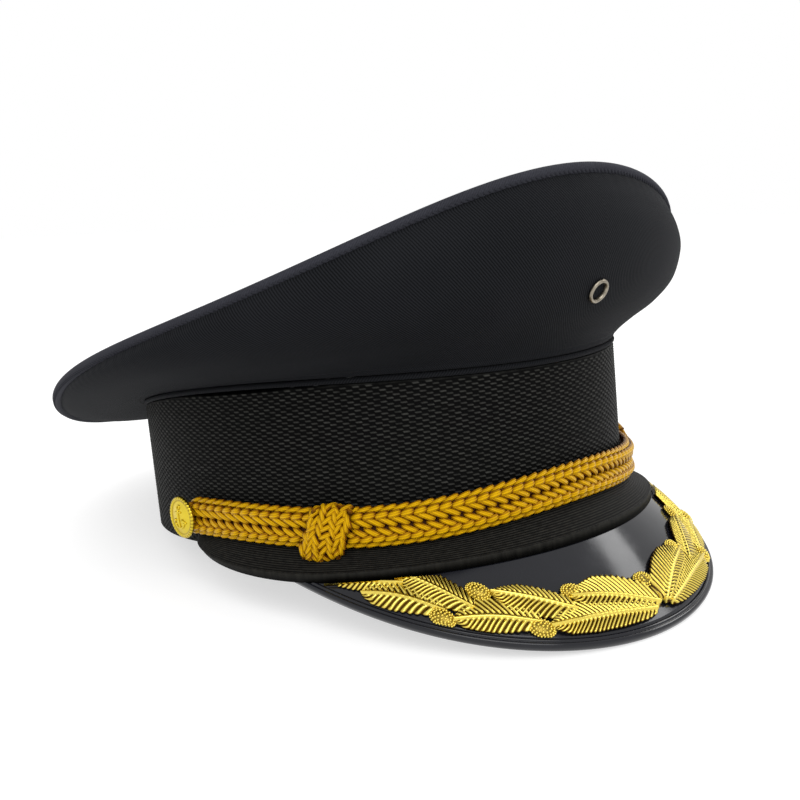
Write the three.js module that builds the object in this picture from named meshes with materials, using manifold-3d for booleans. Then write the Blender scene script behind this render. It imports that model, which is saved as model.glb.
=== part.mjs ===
// Captain's peaked cap with a gold braided chin cord and a gold leaf relief on its visor.
// Millimetres. In the cap's own frame the front is -Y, up is +Z and the wearer's right is -X, and the
// band's lower edge lies at height 0. The whole cap is then tipped nose up, as it rests by itself on
// the front of its visor and the back of its band.
// An angle runs round the cap from the front (0) by the wearer's right (a quarter turn) to the back.
import * as THREE from 'three';
import Module from 'manifold-3d';
import { mergeVertices } from 'three/addons/utils/BufferGeometryUtils.js';

const wasm = await Module();
wasm.setup();

// Clearance between neighbouring pieces
const gap = 0.3;

// Band: a standing oval wall
const bandHalfLength = 103;
const bandHalfWidth = 91.3;
const bandWall = 1.6;
const bandFrontHeight = 50;
const bandSideHeight = 53;
const bandBackHeight = 38;
const bandForwardLean = 0.05; // forward for each millimetre of height

// Piping between the band and the crown
const pipingDiameter = 1.8;
const pipingTuck = 0.3; // how far its middle lies inside the band's outer face

// Crown: how far its rim stands out from the band, and above the band's top edge
const crownFrontOverhang = 24;
const crownSideOverhang = 30.6;
const crownBackOverhang = 30.6;
const crownFrontFullness = 9; // extra half width towards the front
const crownFrontRise = 58.6;
const crownSideRise = 12.4;
const crownBackRise = -0.8;
const crownCheekShare = 0.48; // of the way from the side's rise up to the front's
const crownHindShare = -0.06; // of the way from the back's rise up to the side's
const crownWall = 1.2;
const crownBackSag = 3;

// The crown side's run from the band (first row) to the rim (last row), as shares of the overhang,
// the rise and the sag. The front has a full cheek, the back is a nearly level shelf.
const crownRun = [
  { cheekOut: 0, cheekUp: 0, hindOut: 0, hindSag: 0 },
  { cheekOut: 0.11, cheekUp: 0.07, hindOut: 0.1, hindSag: 0.25 },
  { cheekOut: 0.32, cheekUp: 0.15, hindOut: 0.25, hindSag: 0.6 },
  { cheekOut: 0.66, cheekUp: 0.27, hindOut: 0.42, hindSag: 0.9 },
  { cheekOut: 0.97, cheekUp: 0.46, hindOut: 0.6, hindSag: 1 },
  { cheekOut: 1.12, cheekUp: 0.71, hindOut: 0.78, hindSag: 0.75 },
  { cheekOut: 1.1, cheekUp: 0.87, hindOut: 0.9, hindSag: 0.4 },
  { cheekOut: 1, cheekUp: 1, hindOut: 1, hindSag: 0 },
];

// Crown top: a domed cover with a padded roll round its rim
const rollRadius = 2.1;
const rollTuck = 0.9; // how far the roll's centre lies inside the crown side's face
const topThickness = 1.4;
const topDome = 9;
const topRings = [0, 0.3, 0.55, 0.75, 0.9]; // shares of the way from the middle to the rim

// Visor: it slopes down and out from the band, and its edge follows one rounded share of the reach
const visorReach = 37.5;
const visorDrop = 34.5;
const visorThickness = 1.8;
const visorHalfAngle = THREE.MathUtils.degToRad(80);
const visorEndShare = 0.82; // of the half angle, where the solid ends under the strip
const visorRounding = 1.6;
const visorCrown = 1.2;
const visorRings = [0.12, 0.4, 0.7, 1]; // shares of the way from the band to the binding
const bindingWidth = 2.6;
const bindingHeight = 3.2;

// Ribbed strip over the visor's root
const stripFlare = 10.6;
const stripThickness = 2;
const stripCollar = 1.2; // its thickness where it stands against the band
const stripKnee = 0.25; // share of its width that stands against the band
const stripRows = [0, stripKnee, 0.5, 0.75, 1];
const stripFullAngle = THREE.MathUtils.degToRad(36);
const stripEndAngle = THREE.MathUtils.degToRad(86);

// Chin cord: two braids side by side, held by a button at each end, with a slide knot on each side
const cordHeight = 13;
const cordThickness = 5;
const cordFrontLevel = 9.4;
const cordMiddleLevel = 6.4;
const knotAngle = THREE.MathUtils.degToRad(52.8);
const knotLength = 14.4;
const knotHeight = 19.4;
const knotThickness = 8;
const knotDrop = 0.8; // its middle lies a little below the cord's

// Buttons
const buttonAngle = THREE.MathUtils.degToRad(86.5);
const buttonLevel = 11;
const buttonDiameter = 15;
const buttonRise = 3.6;
const buttonEdge = 1.4;
const buttonShoulder = 0.55; // share of the radius where the dome turns level
const buttonShoulderRise = 0.8; // and of the rise
const buttonShankDiameter = 5;

// Badge eyelet in the middle of the crown's front: a flange and a barrel
const eyeletRunShare = 0.5; // of the way up the crown's side
const eyeletFlangeDiameter = 8.6;
const eyeletBarrelDiameter = 6.4;
const eyeletHoleDiameter = 5.2;
const eyeletFlangeThickness = 0.8;
const eyeletStandoff = 0.4; // keeps the flat flange clear of the curved cloth

// Leaf relief. Angles are shares of the visor's half angle. The distances in from its edge, the bows of
// the midribs and the widths to their outer and inner sides are shares of its depth. The first row is
// next to the front.
const leafRows = [
  { base: 0.006, baseIn: 0.14, tip: 0.18, tipIn: 0.31, bow: 0.05, outer: 0.1, inner: 0.15, layer: 3 },
  { base: 0.02, baseIn: 0.118, tip: 0.242, tipIn: 0.12, bow: 0.045, outer: 0.09, inner: 0.15, layer: 2 },
  { base: 0.175, baseIn: 0.22, tip: 0.327, tipIn: 0.33, bow: 0.03, outer: 0.13, inner: 0.09, layer: 2 },
  { base: 0.25, baseIn: 0.145, tip: 0.407, tipIn: 0.1, bow: 0.04, outer: 0.1, inner: 0.13, layer: 1 },
  { base: 0.362, baseIn: 0.2, tip: 0.51, tipIn: 0.325, bow: 0.035, outer: 0.125, inner: 0.11, layer: 1 },
  { base: 0.415, baseIn: 0.15, tip: 0.581, tipIn: 0.103, bow: 0.045, outer: 0.1, inner: 0.125, layer: 0 },
  { base: 0.49, baseIn: 0.27, tip: 0.662, tipIn: 0.113, bow: 0, outer: 0.065, inner: 0.1, layer: 0 },
];
const berryRows = [
  { at: 0, atIn: 0.315 },
  { at: 0.165, atIn: 0.345 },
  { at: 0.255, atIn: 0.112 },
  { at: 0.347, atIn: 0.325 },
  { at: 0.424, atIn: 0.102 },
];
const leafEdgeHeight = 0.6;
const leafRidgeHeight = 1.3;
const leafLayerStep = 0.3;
const leafClear = 3; // bare visor kept along its edge
const berryLength = 8.2;
const berryWidth = 5.8;
const berryHeight = 1.9;

// How finely the round pieces are faceted
const crownSteps = 54;
const bandSteps = 72;
const pipingSides = 6;
const visorSteps = 30;
const bindingSteps = 40;
const bindingSides = 8;
const stripSteps = 40;
const cordFrontSteps = 26;
const cordSideSteps = 8;
const buttonSides = 16;
const eyeletSides = 14;
const berrySides = 10;
const smallStep = 0.01; // for slopes found from two near places
const quarterTurn = Math.PI / 2;

const finishes = {
  twill: { color: 0x16171f, roughness: 0.85, metalness: 0 },
  braidBand: { color: 0x0c0c0d, roughness: 0.7, metalness: 0 },
  grosgrain: { color: 0x0b0b0c, roughness: 0.75, metalness: 0 },
  patent: { color: 0x0a0a0c, roughness: 0.12, metalness: 0 },
  rayon: { color: 0xd79a1c, roughness: 0.5, metalness: 0 },
  gilt: { color: 0xd8b33c, roughness: 0.3, metalness: 1 },
  nickel: { color: 0xa9a598, roughness: 0.35, metalness: 1 },
};

// A smooth function of the angle, the same on both sides, that takes the given values at equal steps
// from the front to the back. With a share of the radius it also fills the disc inside, as a film would.
function around(values) {
  const last = values.length - 1;
  const weight = (index) => (index === 0 || index === last ? 0.5 : 1);
  const terms = values.map((unused, order) => {
    const cosine = (index) => Math.cos(Math.PI * index * order / last);
    const sum = values.reduce((total, value, index) => total + weight(index) * value * cosine(index), 0);
    return 2 / last * weight(order) * sum;
  });
  return (angle, radius = 1) => terms.reduce(
    (total, term, order) => total + term * radius ** order * Math.cos(order * angle), 0);
}

function mix(from, to, share) {
  return from + (to - from) * share;
}

function point(x, y, z) {
  return new THREE.Vector3(x, y, z);
}

function angleSteps(from, to, count) {
  return Array.from({ length: count + 1 }, (unused, index) => mix(from, to, index / count));
}

function fullTurn(count) {
  return angleSteps(0, 2 * Math.PI, count).slice(0, count);
}

const bandTop = around([bandFrontHeight, bandSideHeight, bandBackHeight]);
const crownFoot = pipingDiameter + 2 * gap; // from the band's top edge to the crown's lower edge

// A point beside the band, out from its outer face and up from its lower edge
function besideBand(angle, out, height) {
  const normal = point(-Math.sin(angle) / bandHalfWidth, -Math.cos(angle) / bandHalfLength, 0).normalize();
  const lean = bandForwardLean * Math.max(height, 0);
  const x = -bandHalfWidth * Math.sin(angle) + out * normal.x;
  const y = -bandHalfLength * Math.cos(angle) + out * normal.y - lean;
  return point(x, y, height);
}

// The crease where the crown's side meets the roll of its top
function rimRise(angle) {
  const cheek = mix(crownSideRise, crownFrontRise, crownCheekShare);
  const hind = mix(crownBackRise, crownSideRise, crownHindShare);
  return around([crownFrontRise, cheek, crownSideRise, hind, crownBackRise])(angle);
}

const rimHeight = around([0, 1, 2, 3, 4].map((step) => {
  const angle = step * Math.PI / 4;
  return bandTop(angle) + rimRise(angle);
}));

function rimPoint(angle) {
  const ahead = Math.cos(angle);
  const halfWidth = bandHalfWidth + crownSideOverhang + crownFrontFullness * ahead * (1 + ahead) / 2;
  const halfLength = bandHalfLength + (crownFrontOverhang + crownBackOverhang) / 2;
  const setBack = (crownBackOverhang - crownFrontOverhang) / 2;
  return point(-halfWidth * Math.sin(angle), setBack - halfLength * ahead, rimHeight(angle));
}

// A point of the crown side's outer face, at a place along its run from 0 at the band to 1 at the rim
function crownPoint(angle, run) {
  const place = run * (crownRun.length - 1);
  const index = Math.min(Math.floor(place), crownRun.length - 2);
  const row = (column) => mix(crownRun[index][column], crownRun[index + 1][column], place - index);
  const frontness = (1 + Math.cos(angle)) / 2;
  const out = mix(row('hindOut'), row('cheekOut'), frontness);
  const up = mix(row('hindOut'), row('cheekUp'), frontness);
  const sag = crownBackSag * row('hindSag') * (1 - frontness);
  const foot = besideBand(angle, 0, bandTop(angle) + crownFoot);
  const rim = rimPoint(angle);
  return point(mix(foot.x, rim.x, out), mix(foot.y, rim.y, out), mix(foot.z, rim.z, up) - sag);
}

// The outward normal of the crown's side, from its neighbours round the cap and along the run
function crownNormal(angle, run) {
  const reach = 1 / (crownRun.length - 1);
  const turn = Math.PI / crownSteps;
  const along = crownPoint(angle, Math.min(run + reach, 1)).sub(crownPoint(angle, Math.max(run - reach, 0)));
  const across = crownPoint(angle + turn, run).sub(crownPoint(angle - turn, run));
  return along.cross(across).normalize();
}

// The visor's top face, out from the band and down. The share runs from the band to the edge.
function visorShare(angle) {
  const turn = THREE.MathUtils.clamp(angle / visorHalfAngle, -1, 1) * quarterTurn;
  return Math.cos(turn) ** visorRounding;
}

const visorDepth = Math.hypot(visorReach, visorDrop);

function visorOut(angle, share) {
  return visorReach * visorShare(angle) * share;
}

function visorHeight(angle, out) {
  const reach = visorReach * visorShare(angle);
  const bulge = visorCrown * visorShare(angle) * Math.sin(Math.PI * Math.min(out / reach, 1));
  return -gap - out * visorDrop / visorReach + bulge;
}

// A point over the visor: a distance in from its edge, lifted square off its face
function overVisor(angle, inward, lift) {
  const share = 1 - inward / (visorDepth * visorShare(angle));
  const out = visorOut(angle, share);
  const height = visorHeight(angle, out);
  return besideBand(angle, out + lift * visorDrop / visorDepth, height + lift * visorReach / visorDepth);
}

// A closed solid from its vertices and triangles: equal vertices are merged, empty triangles are
// dropped, and the faces are turned outwards
function solid(points, faces) {
  const raw = new THREE.BufferGeometry();
  raw.setAttribute('position', new THREE.Float32BufferAttribute(points.flatMap((p) => [p.x, p.y, p.z]), 3));
  raw.setIndex(faces.flat());
  const merged = mergeVertices(raw);
  const index = Array.from(merged.index.array);
  const kept = [];
  for (let i = 0; i < index.length; i += 3) {
    const [a, b, c] = index.slice(i, i + 3);
    if (a !== b && b !== c && c !== a) {
      kept.push([a, b, c]);
    }
  }
  merged.setIndex(kept.flat());
  return volume(merged) < 0 ? turnedOver(merged) : merged;
}

function volume(geometry) {
  const index = geometry.index.array;
  const position = geometry.attributes.position;
  const corner = (i) => new THREE.Vector3().fromBufferAttribute(position, index[i]);
  let sum = 0;
  for (let i = 0; i < index.length; i += 3) {
    sum += corner(i).dot(corner(i + 1).cross(corner(i + 2))) / 6;
  }
  return sum;
}

function turnedOver(geometry) {
  const index = Array.from(geometry.index.array);
  for (let i = 0; i < index.length; i += 3) {
    [index[i], index[i + 1]] = [index[i + 1], index[i]];
  }
  geometry.setIndex(index);
  return geometry;
}

// The triangles that close one flat ring of points: the fattest free corner is cut off again and again
function capFaces(ring, first, reversed) {
  const normal = point(0, 0, 0);
  ring.forEach((p, i) => normal.add(p.clone().cross(ring[(i + 1) % ring.length])));
  normal.normalize();
  const area = (a, b, c) => {
    const side = ring[b].clone().sub(ring[a]);
    return side.cross(ring[c].clone().sub(ring[a])).dot(normal) / 2;
  };
  const inside = (p, [a, b, c]) => area(a, b, p) > 0 && area(b, c, p) > 0 && area(c, a, p) > 0;
  const left = ring.map((unused, i) => i);
  const faces = [];
  while (left.length > 2) {
    const corners = left.map((unused, i) => [left.at(i - 1), left[i], left[(i + 1) % left.length]]);
    const fatness = corners.map(([a, b, c]) => {
      const sides = [[a, b], [b, c], [c, a]].map(([i, j]) => ring[i].distanceToSquared(ring[j]));
      const longest = Math.max(...sides);
      const blocked = left.some((p) => ![a, b, c].includes(p) && inside(p, [a, b, c]));
      return blocked ? -1 : area(a, b, c) / longest;
    });
    const best = fatness.indexOf(Math.max(...fatness));
    faces.push(corners[best]);
    left.splice(best, 1);
  }
  return faces.map((face) => (reversed ? [...face].reverse() : face).map((i) => i + first));
}

// A solid through rings of points, one ring for each place along it. It closes on itself or is capped.
function loft(rings, closed) {
  const count = rings[0].length;
  const faces = [];
  const spans = closed ? rings.length : rings.length - 1;
  for (let i = 0; i < spans; i += 1) {
    const here = i * count;
    const there = ((i + 1) % rings.length) * count;
    for (let j = 0; j < count; j += 1) {
      const next = (j + 1) % count;
      faces.push([here + j, there + j, there + next]);
      faces.push([here + j, there + next, here + next]);
    }
  }
  if (!closed) {
    faces.push(...capFaces(rings[0], 0, false));
    faces.push(...capFaces(rings.at(-1), (rings.length - 1) * count, true));
  }
  return solid(rings.flat(), faces);
}

// A solid swept round the band: the section gives its outline as rows of out and height
function roundBand(angles, closed, section) {
  const rings = angles.map((angle) => section(angle).map(([out, height]) => besideBand(angle, out, height)));
  return loft(rings, closed);
}

function toManifold(geometry) {
  const vertProperties = Float32Array.from(geometry.attributes.position.array);
  const triVerts = Uint32Array.from(geometry.index.array);
  return new wasm.Manifold(new wasm.Mesh({ numProp: 3, vertProperties, triVerts }));
}

function fromManifold(body) {
  const mesh = body.getMesh();
  const geometry = new THREE.BufferGeometry();
  const positions = [];
  for (let i = 0; i < mesh.numVert; i += 1) {
    positions.push(...mesh.vertProperties.slice(i * mesh.numProp, i * mesh.numProp + 3));
  }
  geometry.setAttribute('position', new THREE.Float32BufferAttribute(positions, 3));
  geometry.setIndex(Array.from(mesh.triVerts));
  return geometry;
}

// The same piece for the wearer's left
function mirrored(geometry) {
  const copy = geometry.clone();
  copy.scale(-1, 1, 1);
  return turnedOver(copy);
}

// A turned solid from its profile of radius and height, with its axis set along a direction
function turned(profile, sides, place, axis) {
  const lathe = new THREE.LatheGeometry(profile.map(([r, z]) => new THREE.Vector2(r, z)), sides);
  lathe.deleteAttribute('normal');
  lathe.deleteAttribute('uv');
  const turn = new THREE.Quaternion().setFromUnitVectors(point(0, 1, 0), axis);
  lathe.applyQuaternion(turn);
  lathe.translate(place.x, place.y, place.z);
  const merged = mergeVertices(lathe);
  const vertices = Array.from({ length: merged.attributes.position.count },
    (unused, i) => new THREE.Vector3().fromBufferAttribute(merged.attributes.position, i));
  const faces = [];
  for (let i = 0; i < merged.index.count; i += 3) {
    faces.push(Array.from(merged.index.array.slice(i, i + 3)));
  }
  return solid(vertices, faces);
}

function bandSolid() {
  return roundBand(fullTurn(bandSteps), true, (angle) => [
    [0, 0],
    [0, bandTop(angle)],
    [-bandWall, bandTop(angle)],
    [-bandWall, 0],
  ]);
}

function pipingSolid() {
  const radius = pipingDiameter / 2;
  return roundBand(fullTurn(bandSteps), true, (angle) => fullTurn(pipingSides).map((turn) => [
    radius * Math.sin(turn) - pipingTuck,
    bandTop(angle) + gap + radius + radius * Math.cos(turn),
  ]));
}

function crownSide() {
  const rings = fullTurn(crownSteps).map((angle) => {
    const runs = crownRun.map((unused, row) => row / (crownRun.length - 1));
    const outer = runs.map((run) => crownPoint(angle, run));
    const inner = runs.map((run) => {
      const depth = -crownWall;
      return crownPoint(angle, run).addScaledVector(crownNormal(angle, run), depth);
    });
    return [...outer, ...inner.reverse()];
  });
  return loft(rings, true);
}

// The hole for an eyelet's barrel goes through the crown's side, square to it
function eyeletSeat() {
  return { place: crownPoint(0, eyeletRunShare), axis: crownNormal(0, eyeletRunShare) };
}

function crownQuarters() {
  const { place, axis } = eyeletSeat();
  const radius = eyeletBarrelDiameter / 2 + gap;
  const depth = 4 * crownWall;
  const profile = [[0, -depth], [radius, -depth], [radius, depth], [0, depth]];
  const drill = turned(profile, eyeletSides, place, axis);
  return fromManifold(toManifold(crownSide()).subtract(toManifold(drill)));
}

// The frame of the roll at an angle: its centre, and its upward and outward directions
function rollFrame(angle) {
  const rim = crownPoint(angle, 1);
  const before = crownPoint(angle, 1 - 1 / (crownRun.length - 1));
  const onward = rim.clone().sub(before).normalize();
  const face = crownNormal(angle, 1);
  face.addScaledVector(onward, -face.dot(onward)).normalize();
  const centre = rim.clone().addScaledVector(onward, gap + rollRadius).addScaledVector(face, -rollTuck);
  const along = onward.clone().cross(face);
  const up = point(0, 0, 1).addScaledVector(along, -along.z).normalize();
  const out = up.clone().cross(along).normalize();
  if (out.dot(point(rim.x, rim.y, 0)) < 0) {
    out.negate();
  }
  return { centre, up, out };
}

const topCentreY = (rimPoint(0).y + rimPoint(Math.PI).y) / 2;

function crownTop() {
  const inset = Math.acos((rollRadius - topThickness) / rollRadius);
  const turns = [...angleSteps(0, 6 * Math.PI / 4, 6), 2 * Math.PI - inset];
  const rings = fullTurn(crownSteps).map((angle) => {
    const { centre, up, out } = rollFrame(angle);
    const crest = centre.clone().addScaledVector(up, rollRadius);
    const film = topRings.map((radius) => {
      const height = rimHeight(angle, radius) + radius ** 2 * (crest.z - rimHeight(angle))
        + (1 - radius ** 2) * topDome;
      return point(crest.x * radius, mix(topCentreY, crest.y, radius), height);
    });
    const roll = turns.map((turn) => centre.clone()
      .addScaledVector(up, rollRadius * Math.cos(turn))
      .addScaledVector(out, rollRadius * Math.sin(turn)));
    const under = film.map((p) => point(p.x, p.y, p.z - topThickness)).reverse();
    return [...film, ...roll, ...under];
  });
  return loft(rings, true);
}

function visorSolid() {
  const end = visorHalfAngle * visorEndShare;
  const slopeOut = visorThickness * visorDrop / visorDepth;
  const slopeDown = visorThickness * visorReach / visorDepth;
  return roundBand(angleSteps(-end, end, visorSteps), false, (angle) => {
    const edge = 1 - (bindingWidth + gap) / (visorDepth * visorShare(angle));
    const outs = visorRings.map((share) => visorOut(angle, share * edge));
    const top = outs.map((out) => [out, visorHeight(angle, out)]);
    const under = top.map(([out, height]) => [out - slopeOut, height - slopeDown]).reverse();
    return [[-bandWall, -gap], [0, -gap], ...top, ...under, [-bandWall, -gap - visorThickness]];
  });
}

function bindingSolid() {
  const end = visorHalfAngle * visorEndShare;
  const middle = bindingWidth / 2;
  const rings = angleSteps(-end, end, bindingSteps).map((angle) => fullTurn(bindingSides).map((turn) => {
    const inward = middle - middle * Math.sin(turn);
    const lift = bindingHeight / 2 * (Math.cos(turn) - 1);
    return overVisor(angle, inward, lift);
  }));
  return loft(rings, false);
}

// The cord's level above the band's lower edge dips between its buttons
function cordLevel(angle) {
  const level = around([cordFrontLevel, cordMiddleLevel, buttonLevel]);
  return level(Math.PI * Math.min(Math.abs(angle) / buttonAngle, 1));
}

// How far the strip is flared at an angle: fully in front, rounding off to nothing at the buttons
function stripTaper(angle) {
  const past = (Math.abs(angle) - stripFullAngle) / (stripEndAngle - stripFullAngle);
  return Math.sqrt(1 - THREE.MathUtils.clamp(past, 0, 1) ** 2);
}

const steepness = visorDepth / visorReach; // turns a distance square to the visor into one straight up

// The strip's outer face from the cord's lower side (share 0) to its lower edge (share 1)
function stripFace(angle, share) {
  const top = cordLevel(angle) - cordHeight / 2 - gap;
  const edge = visorHeight(angle, stripFlare) + (gap + stripThickness) * steepness;
  const full = [mix(gap + stripCollar, stripFlare, share), mix(top, edge, share)];
  const short = [gap + stripCollar, top - stripCollar * share];
  const taper = stripTaper(angle);
  return [mix(short[0], full[0], taper), mix(short[1], full[1], taper)];
}

function stripBack(angle, share) {
  const top = cordLevel(angle) - cordHeight / 2 - gap;
  const out = Math.max(gap, mix(gap, stripFlare, (share - stripKnee) / (1 - stripKnee)));
  const low = visorHeight(angle, out) + gap * steepness;
  const full = [out, share < stripKnee ? mix(top, low, share / stripKnee) : low];
  const short = [gap, top - stripCollar * share];
  const taper = stripTaper(angle);
  return [mix(short[0], full[0], taper), mix(short[1], full[1], taper)];
}

function stripSolid() {
  return roundBand(angleSteps(-stripEndAngle, stripEndAngle, stripSteps), false, (angle) => [
    ...stripRows.map((share) => stripFace(angle, share)),
    ...stripRows.map((share) => stripBack(angle, share)).reverse(),
  ]);
}

// The turn that a length takes along the band at an angle
function turnFor(length, angle) {
  const ahead = besideBand(angle + smallStep, 0, 0);
  const behind = besideBand(angle - smallStep, 0, 0);
  return length * 2 * smallStep / ahead.distanceTo(behind);
}

// The cord's section: two lobes, one above the other, with a groove between them
const cordSection = [
  { out: 0.3, up: 0.5 }, { out: 0.88, up: 0.42 }, { out: 1, up: 0.25 }, { out: 0.82, up: 0 },
  { out: 1, up: -0.25 }, { out: 0.88, up: -0.42 }, { out: 0.3, up: -0.5 }, { out: 0, up: -0.4 },
  { out: 0, up: 0.4 },
];

function cordSolid(from, to, steps) {
  return roundBand(angleSteps(from, to, steps), false, (angle) => cordSection.map(({ out, up }) => [
    gap + out * cordThickness,
    cordLevel(angle) + up * cordHeight,
  ]));
}

// A slide knot: a rounded lump round the cord. Its foot stays clear of the strip's sloping face.
const knotStations = [
  { along: -0.5, size: 0.8 }, { along: -0.3, size: 0.98 }, { along: 0, size: 1 },
  { along: 0.3, size: 0.98 }, { along: 0.5, size: 0.8 },
];
const knotSection = [
  { out: 0.05, up: 0.4 }, { out: 0.4, up: 0.5 }, { out: 0.8, up: 0.4 }, { out: 1, up: 0.15 },
  { out: 1, up: -0.2 }, { out: 0.9, up: -0.42 }, { out: 0.68, up: -0.5 }, { out: 0.05, up: -0.3 },
];

function knotSolid() {
  const turn = turnFor(knotLength, knotAngle);
  const rings = knotStations.map(({ along, size }) => {
    const angle = knotAngle + along * turn;
    return knotSection.map((row) => {
      const out = gap + row.out * size * knotThickness;
      const height = cordLevel(angle) - knotDrop + row.up * size * knotHeight;
      return besideBand(angle, out, Math.max(height, stripTopAt(angle, out) + 2 * gap * steepness));
    });
  });
  return loft(rings, false);
}

// The height of the strip's outer face at a distance out from the band
function stripTopAt(angle, out) {
  const [startOut, startHeight] = stripFace(angle, 0);
  const [endOut, endHeight] = stripFace(angle, 1);
  const share = THREE.MathUtils.clamp((out - startOut) / (endOut - startOut), 0, 1);
  return mix(startHeight, endHeight, share);
}

// A button: a shank on the band and a domed cap with a raised edge, over the cord's end
function buttonSolid() {
  const foot = besideBand(buttonAngle, 0, buttonLevel);
  const axis = besideBand(buttonAngle, 1, buttonLevel).sub(foot);
  const radius = buttonDiameter / 2;
  const shank = buttonShankDiameter / 2;
  const back = cordThickness + 2 * gap;
  const profile = [
    [0, gap],
    [shank, gap],
    [shank, back],
    [radius - buttonEdge / 2, back],
    [radius, back + buttonEdge / 2],
    [radius - buttonEdge / 2, back + buttonEdge],
    [radius * buttonShoulder, back + buttonRise * buttonShoulderRise],
    [0, back + buttonRise],
  ];
  return turned(profile, buttonSides, foot, axis);
}

function eyeletSolid() {
  const { place, axis } = eyeletSeat();
  const hole = eyeletHoleDiameter / 2;
  const barrel = eyeletBarrelDiameter / 2;
  const flange = eyeletFlangeDiameter / 2;
  const top = eyeletStandoff + eyeletFlangeThickness;
  const tail = -crownWall - gap;
  const profile = [
    [hole, tail], [barrel, tail], [barrel, eyeletStandoff], [flange, eyeletStandoff],
    [(flange + barrel) / 2, top], [hole, top - eyeletFlangeThickness / 4], [hole, tail],
  ];
  return turned(profile, eyeletSides, place, axis);
}

// How wide a leaf is to the outer and the inner side of its midrib, from its base (0) to its tip (1)
const leafStations = [
  { along: 0.02, outer: 0.3, inner: 0.7 },
  { along: 0.15, outer: 0.65, inner: 0.9 },
  { along: 0.4, outer: 0.94, inner: 1 },
  { along: 0.64, outer: 1, inner: 0.9 },
  { along: 0.86, outer: 0.78, inner: 0.46 },
  { along: 0.98, outer: 0.22, inner: 0.1 },
];

// The length of arc along the visor's edge for each radian
function arcAt(angle) {
  return overVisor(angle + smallStep, 0, 0).distanceTo(overVisor(angle - smallStep, 0, 0)) / (2 * smallStep);
}

function leafSolid(leaf) {
  const midrib = (along) => ({
    angle: visorHalfAngle * mix(leaf.base, leaf.tip, along),
    inward: visorDepth * (mix(leaf.baseIn, leaf.tipIn, along) + leaf.bow * Math.sin(Math.PI * along)),
  });
  const layer = leaf.layer * leafLayerStep;
  const rings = leafStations.map((station) => {
    const { angle, inward } = midrib(station.along);
    const ahead = midrib(station.along + smallStep);
    const scale = arcAt(angle);
    const run = new THREE.Vector2((ahead.angle - angle) * scale, ahead.inward - inward).normalize();
    const side = (across, lift) => {
      const slide = across * visorDepth;
      const edgeAngle = Math.max(angle - slide * run.y / scale, 0);
      const edgeIn = Math.max(inward + slide * run.x, leafClear);
      return overVisor(edgeAngle, edgeIn, lift);
    };
    const outer = -station.outer * leaf.outer;
    const inner = station.inner * leaf.inner;
    return [
      side(outer, gap),
      side(outer, gap + leafEdgeHeight + layer),
      side(0, gap + leafRidgeHeight + layer),
      side(inner, gap + leafEdgeHeight + layer),
      side(inner, gap),
      side(0, gap),
    ];
  });
  return loft(rings, false);
}

// A cluster of berries: an oval lump, given as rings from its foot to its top
const berryRings = [
  { size: 1, rise: 0 }, { size: 0.95, rise: 0.4 }, { size: 0.62, rise: 0.87 }, { size: 0.2, rise: 1 },
];

function berrySolid(berry) {
  const middle = visorHalfAngle * berry.at;
  const inward = visorDepth * berry.atIn;
  const scale = arcAt(middle);
  const rings = berryRings.map(({ size, rise }) => fullTurn(berrySides).map((turn) => {
    const angle = middle + size * berryLength / 2 * Math.cos(turn) / scale;
    const edgeIn = Math.max(inward + size * berryWidth / 2 * Math.sin(turn), leafClear);
    return overVisor(angle, edgeIn, gap + rise * berryHeight);
  }));
  return loft(rings, false);
}

// What the leaves are trimmed back from: the strip with its clearance, and the middle of the visor
function leafTrim() {
  const angles = angleSteps(0, visorHalfAngle, stripSteps / 2);
  return roundBand(angles, false, (angle) => {
    const [out, height] = stripFace(angle, 1);
    const edge = Math.max(out + gap * steepness, gap);
    const above = height + visorDrop;
    const below = height - visorDrop;
    return [[-bandWall, above], [edge, above], [edge, below], [-bandWall, below]];
  });
}

function middleTrim() {
  const box = new THREE.BoxGeometry(gap, 2 * visorReach, 2 * visorDrop);
  box.translate(0, -bandHalfLength - visorReach, -visorDrop / 2);
  box.deleteAttribute('normal');
  box.deleteAttribute('uv');
  return mergeVertices(box);
}

function leafSpray() {
  const pieces = [...leafRows.map(leafSolid), ...berryRows.map(berrySolid)].map(toManifold);
  const whole = pieces.reduce((sum, piece) => sum.add(piece));
  const trimmed = whole.subtract(toManifold(leafTrim())).subtract(toManifold(middleTrim()));
  const parts = trimmed.decompose().sort((a, b) => b.volume() - a.volume());
  return fromManifold(parts[0]);
}

const cap = new THREE.Group();

function add(name, geometry, finish) {
  const mesh = new THREE.Mesh(geometry, new THREE.MeshStandardMaterial(finishes[finish]));
  mesh.name = name;
  cap.add(mesh);
}

function addPair(name, geometry, finish) {
  add(`${name}_right`, geometry, finish);
  add(`${name}_left`, mirrored(geometry), finish);
}

// The cord's stretches end a clearance short of the knots and of the buttons' shanks
const knotTurn = turnFor(knotLength / 2 + gap, knotAngle);
const shankTurn = turnFor(buttonShankDiameter / 2 + gap, buttonAngle);
const knotInner = knotAngle - knotTurn;
const knotOuter = knotAngle + knotTurn;

add('crown_quarters', crownQuarters(), 'twill');
add('crown_top', crownTop(), 'twill');
add('band_piping', pipingSolid(), 'twill');
add('band', bandSolid(), 'braidBand');
add('ribbed_strip', stripSolid(), 'grosgrain');
add('visor', visorSolid(), 'patent');
add('visor_binding', bindingSolid(), 'patent');
addPair('leaf_spray', leafSpray(), 'gilt');
add('chin_cord_front', cordSolid(-knotInner, knotInner, cordFrontSteps), 'rayon');
addPair('chin_cord', cordSolid(knotOuter, buttonAngle - shankTurn, cordSideSteps), 'rayon');
addPair('cord_knot', knotSolid(), 'rayon');
addPair('cord_button', buttonSolid(), 'gilt');
add('badge_eyelet', eyeletSolid(), 'nickel');

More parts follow.
